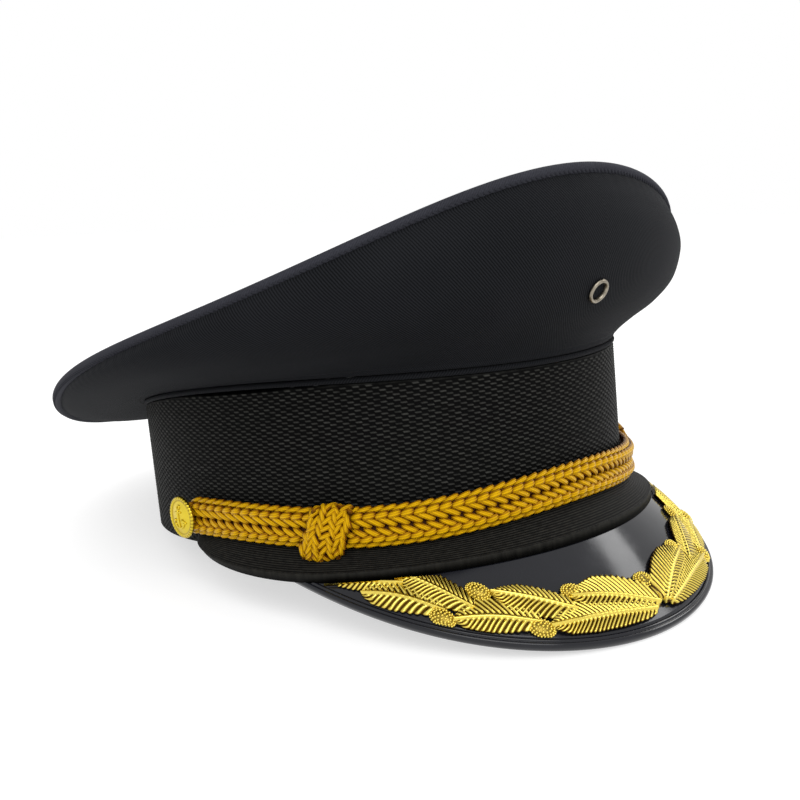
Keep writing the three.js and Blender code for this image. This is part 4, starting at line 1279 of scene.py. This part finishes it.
def leaf_points(leaf, along, across, lift, inner_limit):
    """Points over one leaf: along its midrib from base to tip, and across it from edge to edge."""
    def midrib(share):
        bow = leaf["bow"] * np.sin(math.pi * share)
        angle = VISOR_HALF_ANGLE * mix(leaf["base"], leaf["tip"], share)
        return angle, VISOR_DEPTH * (mix(leaf["base_in"], leaf["tip_in"], share) + bow)

    angle, inward = midrib(along)
    ahead_angle, ahead_in = midrib(along + 0.01)
    scale = edge_scale(angle)
    run = unit(np.stack([(ahead_angle - angle) * scale, ahead_in - inward], axis=-1))
    edge_angle = np.maximum(angle - across * run[..., 1] / scale, 0)
    edge_in = np.maximum(inward + across * run[..., 0], LEAF_CLEAR)
    edge_in = np.minimum(edge_in, inner_limit(edge_angle))
    return over_visor(edge_angle, edge_in, lift)


def strip_limit(angle):
    """How far in from the visor's edge its face goes before the ribbed strip covers it."""
    edge_out = strip_face(angle, 1.0)[0] + 2 * GAP
    share = visor_share(angle)
    return VISOR_DEPTH * share - edge_out * VISOR_DEPTH / VISOR_REACH


def leaf_length(leaf):
    share = np.linspace(0, 1, 30)
    flat = np.zeros_like(share)
    points = leaf_points(leaf, share, flat, flat, lambda angle: np.full_like(angle, VISOR_DEPTH))
    return np.linalg.norm(np.diff(points, axis=0), axis=-1).sum()


def leaf_patch(leaf):
    """A leaf as a raised sheet: a round midrib, slanting side ribs that end in teeth, and its rim.
    The rows of its grid run along the ribs, so that each rib stays sharp from the midrib to the edge."""
    side = np.linspace(-1, 1, 25)[None, :]
    out_share = np.abs(side)

    def half_width(along):
        outer, inner = (
            leaf[name] * VISOR_DEPTH * np.interp(along, LEAF_RUN["along"], LEAF_RUN[name])
            for name in ("outer", "inner")
        )
        return np.where(side < 0, outer, inner)

    length = leaf_length(leaf)
    slope = np.where(side < 0, LEAF_OUTER_RIB_SLOPE, LEAF_INNER_RIB_SLOPE)
    before = math.ceil((slope * half_width(0)).max() / leaf["pitch"])
    ribs = math.ceil(length / leaf["pitch"])
    rib = np.arange(-before * LEAF_RIB_ROWS, ribs * LEAF_RIB_ROWS + 1)[:, None] / LEAF_RIB_ROWS
    start = rib * leaf["pitch"] / length
    slanted = slope * out_share * half_width(np.clip(start, 0, 1)) / length
    along = np.clip(start + slanted, 0, 1)
    crest = np.abs(np.sin(math.pi * rib)) ** 1.2
    from_midrib = out_share * half_width(along)
    rib_share = np.clip((from_midrib - LEAF_RIB_START) / LEAF_RIB_FADE, 0, 1)
    across = side * half_width(along) * (1 + LEAF_TOOTH * (crest - 0.5) * out_share**4)
    dome = mix(LEAF_RIDGE_HEIGHT, LEAF_EDGE_HEIGHT, out_share**1.6)
    midrib = LEAF_MIDRIB_RISE * np.exp(-((from_midrib / LEAF_MIDRIB_WIDTH) ** 2))
    groove = LEAF_GROOVE_DEPTH * np.exp(-(((from_midrib - LEAF_GROOVE_PLACE) / LEAF_GROOVE_WIDTH) ** 2))
    rib_depth = LEAF_RIB_RISE * (1 - crest) * rib_share
    lift = GAP + leaf["layer"] * LEAF_LAYER_STEP + dome + midrib - groove - rib_depth
    lift = lift * np.minimum(np.minimum(along, 1 - along) / 0.02 + 0.4, 1)
    top = leaf_points(leaf, along, across, lift, strip_limit)
    foot = leaf_points(leaf, along[:, [-1, 0]], across[:, [-1, 0]], GAP + 0 * across[:, :2], strip_limit)
    section = np.concatenate([top, foot], axis=1)
    # Painted shade: the grooves between the side ribs and the leaf's rim are darker, the crests bright.
    relief = 1 - (1 - crest) * rib_share
    relief[:, [0, -1]] *= LEAF_RIM_RELIEF
    relief = np.concatenate([relief, np.zeros((len(along), 2))], axis=1)
    relief = np.concatenate([relief[:1], relief, relief[-1:]])
    return patch(capped(section), relief=relief, round_columns=True)


def berry_spot(berry, turn, size, rise):
    """A point of a cluster's oval lump: round it by a turn, out by a share of its size, and up."""
    middle = VISOR_HALF_ANGLE * berry["at"]
    angle = middle + size * BERRY_LENGTH / 2 * np.cos(turn) / edge_scale(middle)
    inward = VISOR_DEPTH * berry["at_in"] + size * BERRY_WIDTH / 2 * np.sin(turn)
    return over_visor(angle, np.maximum(inward, LEAF_CLEAR), GAP + rise * BERRY_HEIGHT)


def berry_patch(berry):
    """The smooth lump under a cluster of beads."""
    turn = np.linspace(0, TURN, 28, endpoint=False)[:, None]
    rise = np.linspace(0, math.pi / 2, 8)[None, :]
    points = berry_spot(berry, turn, np.cos(rise), mix(BERRY_FOOT, 1, np.sin(rise)))
    foot = berry_spot(berry, turn, np.array([[0.0, 1.0]]), 0.0)
    points = np.concatenate([foot, points], axis=1)
    # The lump's low relief paints shade between its beads.
    return patch(points, relief=np.full(points.shape[:2], BERRY_RELIEF), round_rows=True)


def berry_beads(berry):
    """Where the small beads of a cluster sit on its lump, and which way they face."""
    places = []
    outward = []
    for ring, beads in enumerate(BERRY_RINGS):
        rise = math.pi / 2 * (1 - ring / (len(BERRY_RINGS) - 0.4))
        turn = TURN * (np.arange(beads) + ring / 2) / beads
        place = berry_spot(berry, turn, math.cos(rise), mix(BERRY_FOOT, 1, math.sin(rise)))
        above = berry_spot(berry, turn, 0.6 * math.cos(rise), 3.0)
        places.append(place)
        outward.append(unit(above - place))
    return np.concatenate(places), np.concatenate(outward)


def mirrored_patch(part):
    copy = dict(part)
    copy["points"] = part["points"] * np.array([-1, 1, 1])
    return copy


def small_shape(name, points, uv=None, relief=None, material=None):
    """A small shape to repeat, modelled at the origin one unit long."""
    return build(name, [patch(points, uv, relief, round_columns=True)], material, place=np.array)


def bead_shape(material):
    """A small round bead, one unit across."""
    rise = np.linspace(-math.pi / 2, math.pi / 2, 6)[:, None]
    turn = np.linspace(0, TURN, 8, endpoint=False)[None, :]
    points = np.stack(np.broadcast_arrays(
        0.5 * np.cos(rise) * np.cos(turn), 0.5 * np.cos(rise) * np.sin(turn), 0.5 * np.sin(rise)
    ), axis=-1)
    return small_shape("bead", points, material=material)


def leaf_spray(name, mirror, material, strands, bead):
    """One side's relief: leaves that point away from the front, with clusters of beads between them."""
    parts = [leaf_patch(leaf) for leaf in LEAVES] + [berry_patch(berry) for berry in BERRIES]
    for part in parts:
        part["points"][:, 0] = np.minimum(part["points"][:, 0], -GAP / 2)
    if mirror:
        parts = [mirrored_patch(part) for part in parts]
    piece = build(name, parts, material)
    places, outward = (np.concatenate(rows) for rows in zip(*(berry_beads(berry) for berry in BERRIES)))
    this_side = places[:, 0] < -GAP
    places, outward = places[this_side], outward[this_side]
    if mirror:
        places, outward = places * [-1, 1, 1], outward * [-1, 1, 1]
    lengthways = np.cross(outward, [0.3, 0.2, 1])  # a bead is round, so any turn does
    sizes = np.full(places.shape, BERRY_BEAD)
    lay_strands(piece, strands, bead, material, places, lengthways, outward, sizes)
    return piece


def strand_shape(material):
    """A twisted strand of three plies, one unit long, wide and deep. Its ends dip inwards."""
    along = np.linspace(-0.5, 0.5, 9)[:, None]
    turn = np.linspace(0, TURN, 9, endpoint=False)[None, :]
    radius = 0.5 * np.sqrt(np.clip(1 - (2 * along) ** 6, 0, 1))
    plies = 1 + STRAND_PLY_DEPTH * np.cos(3 * (turn - STRAND_TWIST * along))
    dip = -STRAND_END_DIP * np.abs(2 * along) ** 2.4
    points = np.stack(np.broadcast_arrays(
        along, radius * plies * np.cos(turn), radius * plies * np.sin(turn) + dip
    ), axis=-1)
    uv = np.stack(np.broadcast_arrays(np.linspace(0, 4, 9)[:, None], np.linspace(0, 4, 10)[None, :]), axis=-1)
    # Painted light: bright on the strand's outward back, painted shade on its underside and towards its ends.
    relief = (0.5 + 0.5 * np.sin(turn)) * (1 - 0.7 * (2 * along) ** 4)
    return small_shape("strand", points, uv, relief, material)


def cord_strands(start, end):
    """The places of the cord's strands between two angles, counted from the far button all the way."""
    angles, lengths = band_length(-BUTTON_ANGLE, BUTTON_ANGLE)
    first, last = np.interp([start, end], angles, lengths)
    places, lengthways, outward, sizes = [], [], [], []
    for row in CORD_ROWS:
        begin = math.ceil((first - CORD_RUN_ON) / CORD_PITCH - row["phase"])
        finish = math.floor((last + CORD_RUN_ON) / CORD_PITCH - row["phase"])
        along = (np.arange(begin, finish + 1) + row["phase"]) * CORD_PITCH
        angle = np.interp(along, lengths, angles)
        level = cord_level(angle)
        place = beside_band(angle, GAP + row["out"], level + row["up"])
        ahead = angle - 0.005
        onward = unit(beside_band(ahead, 0, cord_level(ahead)) - beside_band(angle, 0, level))
        out = unit(beside_band(angle, 1, level) - beside_band(angle, 0, level))
        up = unit(np.cross(onward, out) * np.sign(np.cross(onward, out)[..., 2:]))
        slant, dive = math.radians(row["slant"]), math.radians(row["dive"])
        direction = math.cos(slant) * onward + math.sin(slant) * up
        direction = math.cos(dive) * direction - math.sin(dive) * out
        places.append(place)
        lengthways.append(direction)
        outward.append(out + CORD_FAN * math.copysign(abs(row["up"]) ** 1.2, row["up"]) * up)
        sizes.append(np.broadcast_to([row["long"], row["wide"], row["deep"]], place.shape))
    return [np.concatenate(rows) for rows in (places, lengthways, outward, sizes)]


# The core of the cord, as shares of its thickness and height, under the golden strands
CORE_SECTION = (
    (0.1, 0.4), (0.45, 0.44), (0.68, 0.32), (0.66, 0.16), (0.42, 0), (0.66, -0.16), (0.68, -0.32),
    (0.45, -0.44), (0.1, -0.4),
)


def chin_cord(name, start, end, core, yarn, strands, strand):
    """A stretch of the braided cord: a core painted dark, as the shade in its gaps, with six rows of golden
    strands over it.
    """
    angle = np.linspace(start, end, max(int(abs(end - start) * CORD_CORE_STEPS), 8))[:, None]
    out, up = np.array(CORE_SECTION).T[:, None, :]
    rings = beside_band(angle, GAP + out * CORD_THICKNESS, cord_level(angle) + up * CORD_HEIGHT)
    piece = build(name, [patch(capped(rings), round_columns=True)], core)
    lay_strands(piece, strands, strand, yarn, *cord_strands(start, end))
    return piece


def turn_for(length, angle):
    """The angle that a length along the band takes up, near a given angle."""
    step = 0.01
    chord = np.linalg.norm(beside_band(angle + step, 0, 0) - beside_band(angle - step, 0, 0))
    return length * 2 * step / chord


def cord_knot(name, side, core, yarn, strands, strand):
    """A slide knot: the braid wound round the cord, its strands in columns that slant to and fro."""
    middle = side * KNOT_ANGLE
    level = cord_level(middle) - KNOT_DROP
    foot = beside_band(middle, 0, level)
    out = unit(beside_band(middle, 1, level) - foot)
    back = unit(beside_band(middle + 0.01, 0, level) - beside_band(middle - 0.01, 0, level))
    up = np.array([0.0, 0.0, 1.0])

    def loop(turn, along, swell):
        """A point of a vertical loop round the cord, its normal and its direction upwards."""
        half_height = (KNOT_HEIGHT / 2 - KNOT_SINK[0]) * swell
        half_depth = (KNOT_THICKNESS / 2 - KNOT_SINK[1]) * swell
        centre = foot + out * (GAP + KNOT_THICKNESS / 2)
        rise = half_height * np.sin(turn)
        point = centre + out * (half_depth * np.cos(turn))[..., None] + up * rise[..., None]
        point = point + back * (along - KNOT_LEAN * rise)[..., None]
        normal = unit(
            out * (np.cos(turn) / half_depth)[..., None] + up * (np.sin(turn) / half_height)[..., None]
        )
        onward = unit(
            -out * (half_depth * np.sin(turn))[..., None]
            + (up - KNOT_LEAN * back) * (half_height * np.cos(turn))[..., None]
        )
        return point, normal, onward

    fine = np.linspace(-KNOT_WRAP, KNOT_WRAP, 400)
    path = loop(fine, np.zeros_like(fine), 1.0)[0]
    lengths = np.concatenate([[0], np.cumsum(np.linalg.norm(np.diff(path, axis=0), axis=1))])
    chance = np.random.default_rng(KNOT_SEED)
    places, lengthways, outward, sizes = [], [], [], []
    for column in KNOT_COLUMNS:
        count = int(lengths[-1] / KNOT_PITCH)
        turn = np.interp((np.arange(count) + column["phase"]) * KNOT_PITCH, lengths, fine)
        stray = chance.uniform(-1, 1, (3, count))
        place, normal, onward = loop(turn, column["along"] + KNOT_STRAY_ALONG * stray[0], column["swell"])
        slant = np.radians(column["slant"] + KNOT_STRAY_SLANT * stray[1])[:, None]
        dive = np.radians(KNOT_STRAY_DIVE * stray[2])[:, None]
        across = np.cross(onward, normal) * side
        direction = np.cos(slant) * onward + np.sin(slant) * across
        direction = np.cos(dive) * direction - np.sin(dive) * normal
        places.append(place)
        lengthways.append(direction)
        outward.append(normal)
        sizes.append(np.broadcast_to(KNOT_STRAND, place.shape))
    turn = np.linspace(0, TURN, 24, endpoint=False)[None, :]
    rings = np.concatenate([
        loop(turn, np.full(turn.shape, share * KNOT_LENGTH), swell)[0] for share, swell in KNOT_CORE
    ])
    piece = build(name, [patch(capped(rings), round_columns=True)], core)
    rows = (places, lengthways, outward, sizes)
    lay_strands(piece, strands, strand, yarn, *(np.concatenate(row) for row in rows))
    return piece


# The button's profile: radius and height as shares of its radius and of its rise, after the shank
BUTTON_PROFILE = (
    (0.86, 0), (0.97, 0.06), (1, 0.16), (1, 0.3), (0.96, 0.42), (0.9, 0.46), (0.86, 0.4), (0.82, 0.33),
    (0.74, 0.36), (0.6, 0.47), (0.42, 0.57), (0.22, 0.63), (0, 0.65),
)
BUTTON_TEETH = 36
BUTTON_ROPE_RISE = 0.08

# The anchor on a button's face: its places from the face's middle, and its bars' radii
ANCHOR_LIFT = 0.12  # its bars' middles over the face
ANCHOR_BAR = 0.42
ANCHOR_SHANK = (-3.6, 3.0)  # from its foot to its top
ANCHOR_STOCK_HALF = 1.7
ANCHOR_STOCK_LEVEL = 2.1
ANCHOR_STOCK_BAR = 0.38
ANCHOR_ARM_RADIUS = 3.3
ANCHOR_ARM_LEVEL = -0.4
ANCHOR_ARM_ENDS = (math.radians(205), math.radians(335))
ANCHOR_RING_RADIUS = 0.75
ANCHOR_RING_LEVEL = 3.8
ANCHOR_RING_BAR = 0.28
ANCHOR_FLUKE_OUT = (3.9, 2.0)  # from its tip to its root
ANCHOR_FLUKE_LEVEL = (-1.9, -0.6)
ANCHOR_FLUKE_BAR = (0.3, 0.5)


def anchor_patches(place, side, level, axis):
    """A plain anchor in low relief, on the button's domed face."""
    def on_face(x, y):
        x, y = np.broadcast_arrays(np.asarray(x, dtype=float), np.asarray(y, dtype=float))
        radius = np.hypot(x, y) / BUTTON_RADIUS
        shares = np.array(BUTTON_PROFILE[8:])[::-1]
        height = np.interp(radius, shares[:, 0], shares[:, 1]) * BUTTON_RISE + ANCHOR_LIFT
        return place + x[..., None] * side + y[..., None] * level + height[..., None] * axis

    arc = np.linspace(*ANCHOR_ARM_ENDS, 15)
    ring = np.linspace(0, TURN, 17)
    arm_x, arm_y = ANCHOR_ARM_RADIUS * np.cos(arc), ANCHOR_ARM_LEVEL + ANCHOR_ARM_RADIUS * np.sin(arc)
    ring_x, ring_y = ANCHOR_RING_RADIUS * np.cos(ring), ANCHOR_RING_LEVEL + ANCHOR_RING_RADIUS * np.sin(ring)
    stock_x = np.linspace(-ANCHOR_STOCK_HALF, ANCHOR_STOCK_HALF, 7)
    lines = [
        (on_face(0, np.linspace(*ANCHOR_SHANK, 9)), ANCHOR_BAR),
        (on_face(stock_x, ANCHOR_STOCK_LEVEL), ANCHOR_STOCK_BAR),
        (on_face(arm_x, arm_y), ANCHOR_BAR),
        (on_face(ring_x, ring_y), ANCHOR_RING_BAR),
    ]
    for end in (-1, 1):
        fluke_x = end * np.linspace(*ANCHOR_FLUKE_OUT, 5)
        fluke_y = np.linspace(*ANCHOR_FLUKE_LEVEL, 5)
        lines.append((on_face(fluke_x, fluke_y), np.linspace(*ANCHOR_FLUKE_BAR, 5)))
    bars = [tube(line, np.broadcast_to(radius, len(line)), 8, axis) for line, radius in lines]
    return [patch(bar, round_columns=True) for bar in bars]


def cord_button(name, side_sign, material):
    """A gilt button: a shank through the cord's end, a domed cap with a roped edge, and an anchor."""
    angle = side_sign * BUTTON_ANGLE
    foot = beside_band(angle, 0, BUTTON_LEVEL)
    axis = unit(beside_band(angle, 1, BUTTON_LEVEL) - foot)
    back = CORD_THICKNESS + 2 * GAP
    profile = np.array(BUTTON_PROFILE) * [BUTTON_RADIUS, BUTTON_RISE] + [0, back]
    shank = np.array([(0, GAP), (BUTTON_SHANK_RADIUS, GAP), (BUTTON_SHANK_RADIUS, back)])
    profile = np.concatenate([shank, profile])
    roped = np.zeros(len(profile))
    roped[4:9] = BUTTON_ROPE_RISE
    steps = 4 * BUTTON_TEETH
    points = lathe(profile, foot, axis, steps, lambda turn: np.cos(BUTTON_TEETH * turn) * roped)
    turn = np.linspace(0, TURN, steps, endpoint=False)[:, None]
    # Painted shade: darker between the rope's teeth and in the groove inside the roped rim.
    relief = np.where(roped > 0, 0.68 + 0.22 * np.cos(BUTTON_TEETH * turn), 0.85)
    relief[:, 10] = 0.5
    side = unit(np.cross(axis, [0, 0, 1]))
    level = np.cross(side, axis)
    parts = [patch(points, relief=relief, round_rows=True)]
    parts += anchor_patches(foot + axis * back, side, level, axis)
    return build(name, parts, material)


def badge_eyelet(material):
    """The metal eyelet in the crown's front: a rolled flange and the barrel through the cloth."""
    place = crown_point(np.array(0.0), np.array(EYELET_RUN_SHARE))
    axis = crown_normal(np.array(0.0), np.array(EYELET_RUN_SHARE))
    tail = -CROWN_WALL - GAP
    rolled = np.linspace(0, math.pi, 9)
    middle = (EYELET_FLANGE_RADIUS + EYELET_HOLE_RADIUS) / 2
    half = (EYELET_FLANGE_RADIUS - EYELET_HOLE_RADIUS) / 2
    height = EYELET_STANDOFF + 1.1 * EYELET_THICKNESS * np.sin(rolled)
    roll = np.stack([middle + half * np.cos(rolled), height], axis=-1)
    inside = np.array([(EYELET_HOLE_RADIUS, tail), (EYELET_BARREL_RADIUS, tail), (EYELET_BARREL_RADIUS, 0.3)])
    points = lathe(np.concatenate([roll, inside]), place, axis, 48)
    return build("badge_eyelet_ring", [patch(points, round_rows=True, round_columns=True)], material)


def dress(piece, slot, *nodes):
    """Hide the parts that a piece stands in for, and attach it to the root body."""
    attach(piece, "root")
    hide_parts(*nodes)


def light(name, place, target, width, height, power):
    """A soft box that faces its target. Places are in metres in the resting cap's frame."""
    data = bpy.data.lights.new(name, "AREA")
    data.shape = "RECTANGLE"
    data.size = width
    data.size_y = height
    data.energy = power
    lamp = bpy.data.objects.new(name, data)
    direction = Vector(target) - Vector(place)
    lamp.rotation_euler = direction.to_track_quat("-Z", "Y").to_euler()
    lamp.location = place
    bpy.context.collection.objects.link(lamp)


def studio():
    """White paper below and behind, an even white room, and soft boxes over the cap."""
    world = bpy.data.worlds.new("white_room")
    world.use_nodes = True
    world.node_tree.nodes.clear()
    glow = add_node(world.node_tree, "ShaderNodeBackground", {"Color": linear("ffffff"), "Strength": 1.0})
    add_node(world.node_tree, "ShaderNodeOutputWorld", {"Surface": glow.outputs["Background"]})
    bpy.context.scene.world = world
    bpy.context.scene.view_settings.view_transform = "Standard"
    corners = [(x * FLOOR_HALF, y * FLOOR_HALF, 0) for x, y in ((-1, -1), (1, -1), (1, 1), (-1, 1))]
    mesh = bpy.data.meshes.new("studio_floor")
    mesh.from_pydata(corners, [], [(0, 1, 2, 3)])
    mesh.materials.append(paper_floor())
    floor = bpy.data.objects.new("studio_floor", mesh)
    bpy.context.collection.objects.link(floor)
    light("key_soft_box", (-0.5, -0.9, 1.1), (0, 0, 0.08), 1.0, 1.0, 10)
    light("side_soft_box", (0.76, -0.24, 0.66), (0, -0.12, 0.02), 0.8, 0.17, 2.4)


point_camera()
studio()

twill = wool_cloth("navy_wool_twill", "07080a", "1c1d20", line_share=0.65, line_pitch=0.8)
# The top's lighter blue grey is painted light, for the roll that faces up to the lamps.
wool_painted_light_top = wool_cloth("navy_wool_painted_light_top", "1a1a1e", "383940", line_share=0.2, line_pitch=0.8)
thread = sewing_thread()
patent = patent_gloss()
# The core's dark red brown is painted shade, for the gaps between the strands.
core = core_painted_shade()
yarn = rayon_yarn()
# The hollow colours of both gilts are painted shade.
relief_gilt = gilt("stamped_gilt_relief", "e0c95c", "402806", 0.2)
button_gilt = gilt("satin_gilt_button", "d8c03a", "6b4a12", 0.28)

stitches = stitch_tree()
strands = strand_tree()
strand = strand_shape(yarn)
bead = bead_shape(relief_gilt)

dress(crown_quarters(twill), "twill", "crown_quarters")
dress(crown_top(wool_painted_light_top, strands, bead), "twill", "crown_top")
dress(band_piping(twill), "twill", "band_piping")
dress(band(mohair_braid()), "braid_band", "band")
dress(ribbed_strip(grosgrain(), thread, stitches), "grosgrain", "ribbed_strip")
dress(visor(patent), "patent", "visor")
dress(visor_binding(patent), "patent", "visor_binding")

knot_turn = turn_for(KNOT_LENGTH / 2, KNOT_ANGLE)
shank_turn = turn_for(BUTTON_SHANK_RADIUS + GAP, BUTTON_ANGLE)
inner = KNOT_ANGLE - knot_turn
outer = KNOT_ANGLE + knot_turn
last = BUTTON_ANGLE - shank_turn
front_cord = chin_cord("front_cord_braid", -inner, inner, core, yarn, strands, strand)
dress(front_cord, "rayon_cord", "chin_cord_front")
for side, sign in (("right", 1), ("left", -1)):
    stretch = sorted((sign * outer, sign * last))
    cord = chin_cord(f"{side}_cord_braid", *stretch, core, yarn, strands, strand)
    dress(cord, "rayon_cord", f"chin_cord_{side}")
    knot = cord_knot(f"{side}_slide_knot", sign, core, yarn, strands, strand)
    dress(knot, "rayon_cord", f"cord_knot_{side}")
    dress(cord_button(f"{side}_cord_button", sign, button_gilt), "gilt", f"cord_button_{side}")
    spray = leaf_spray(f"{side}_leaf_relief", sign < 0, relief_gilt, strands, bead)
    dress(spray, "gilt", f"leaf_spray_{side}")
dress(badge_eyelet(antique_nickel()), "eyelet_metal", "badge_eyelet")
remove(strand, bead)
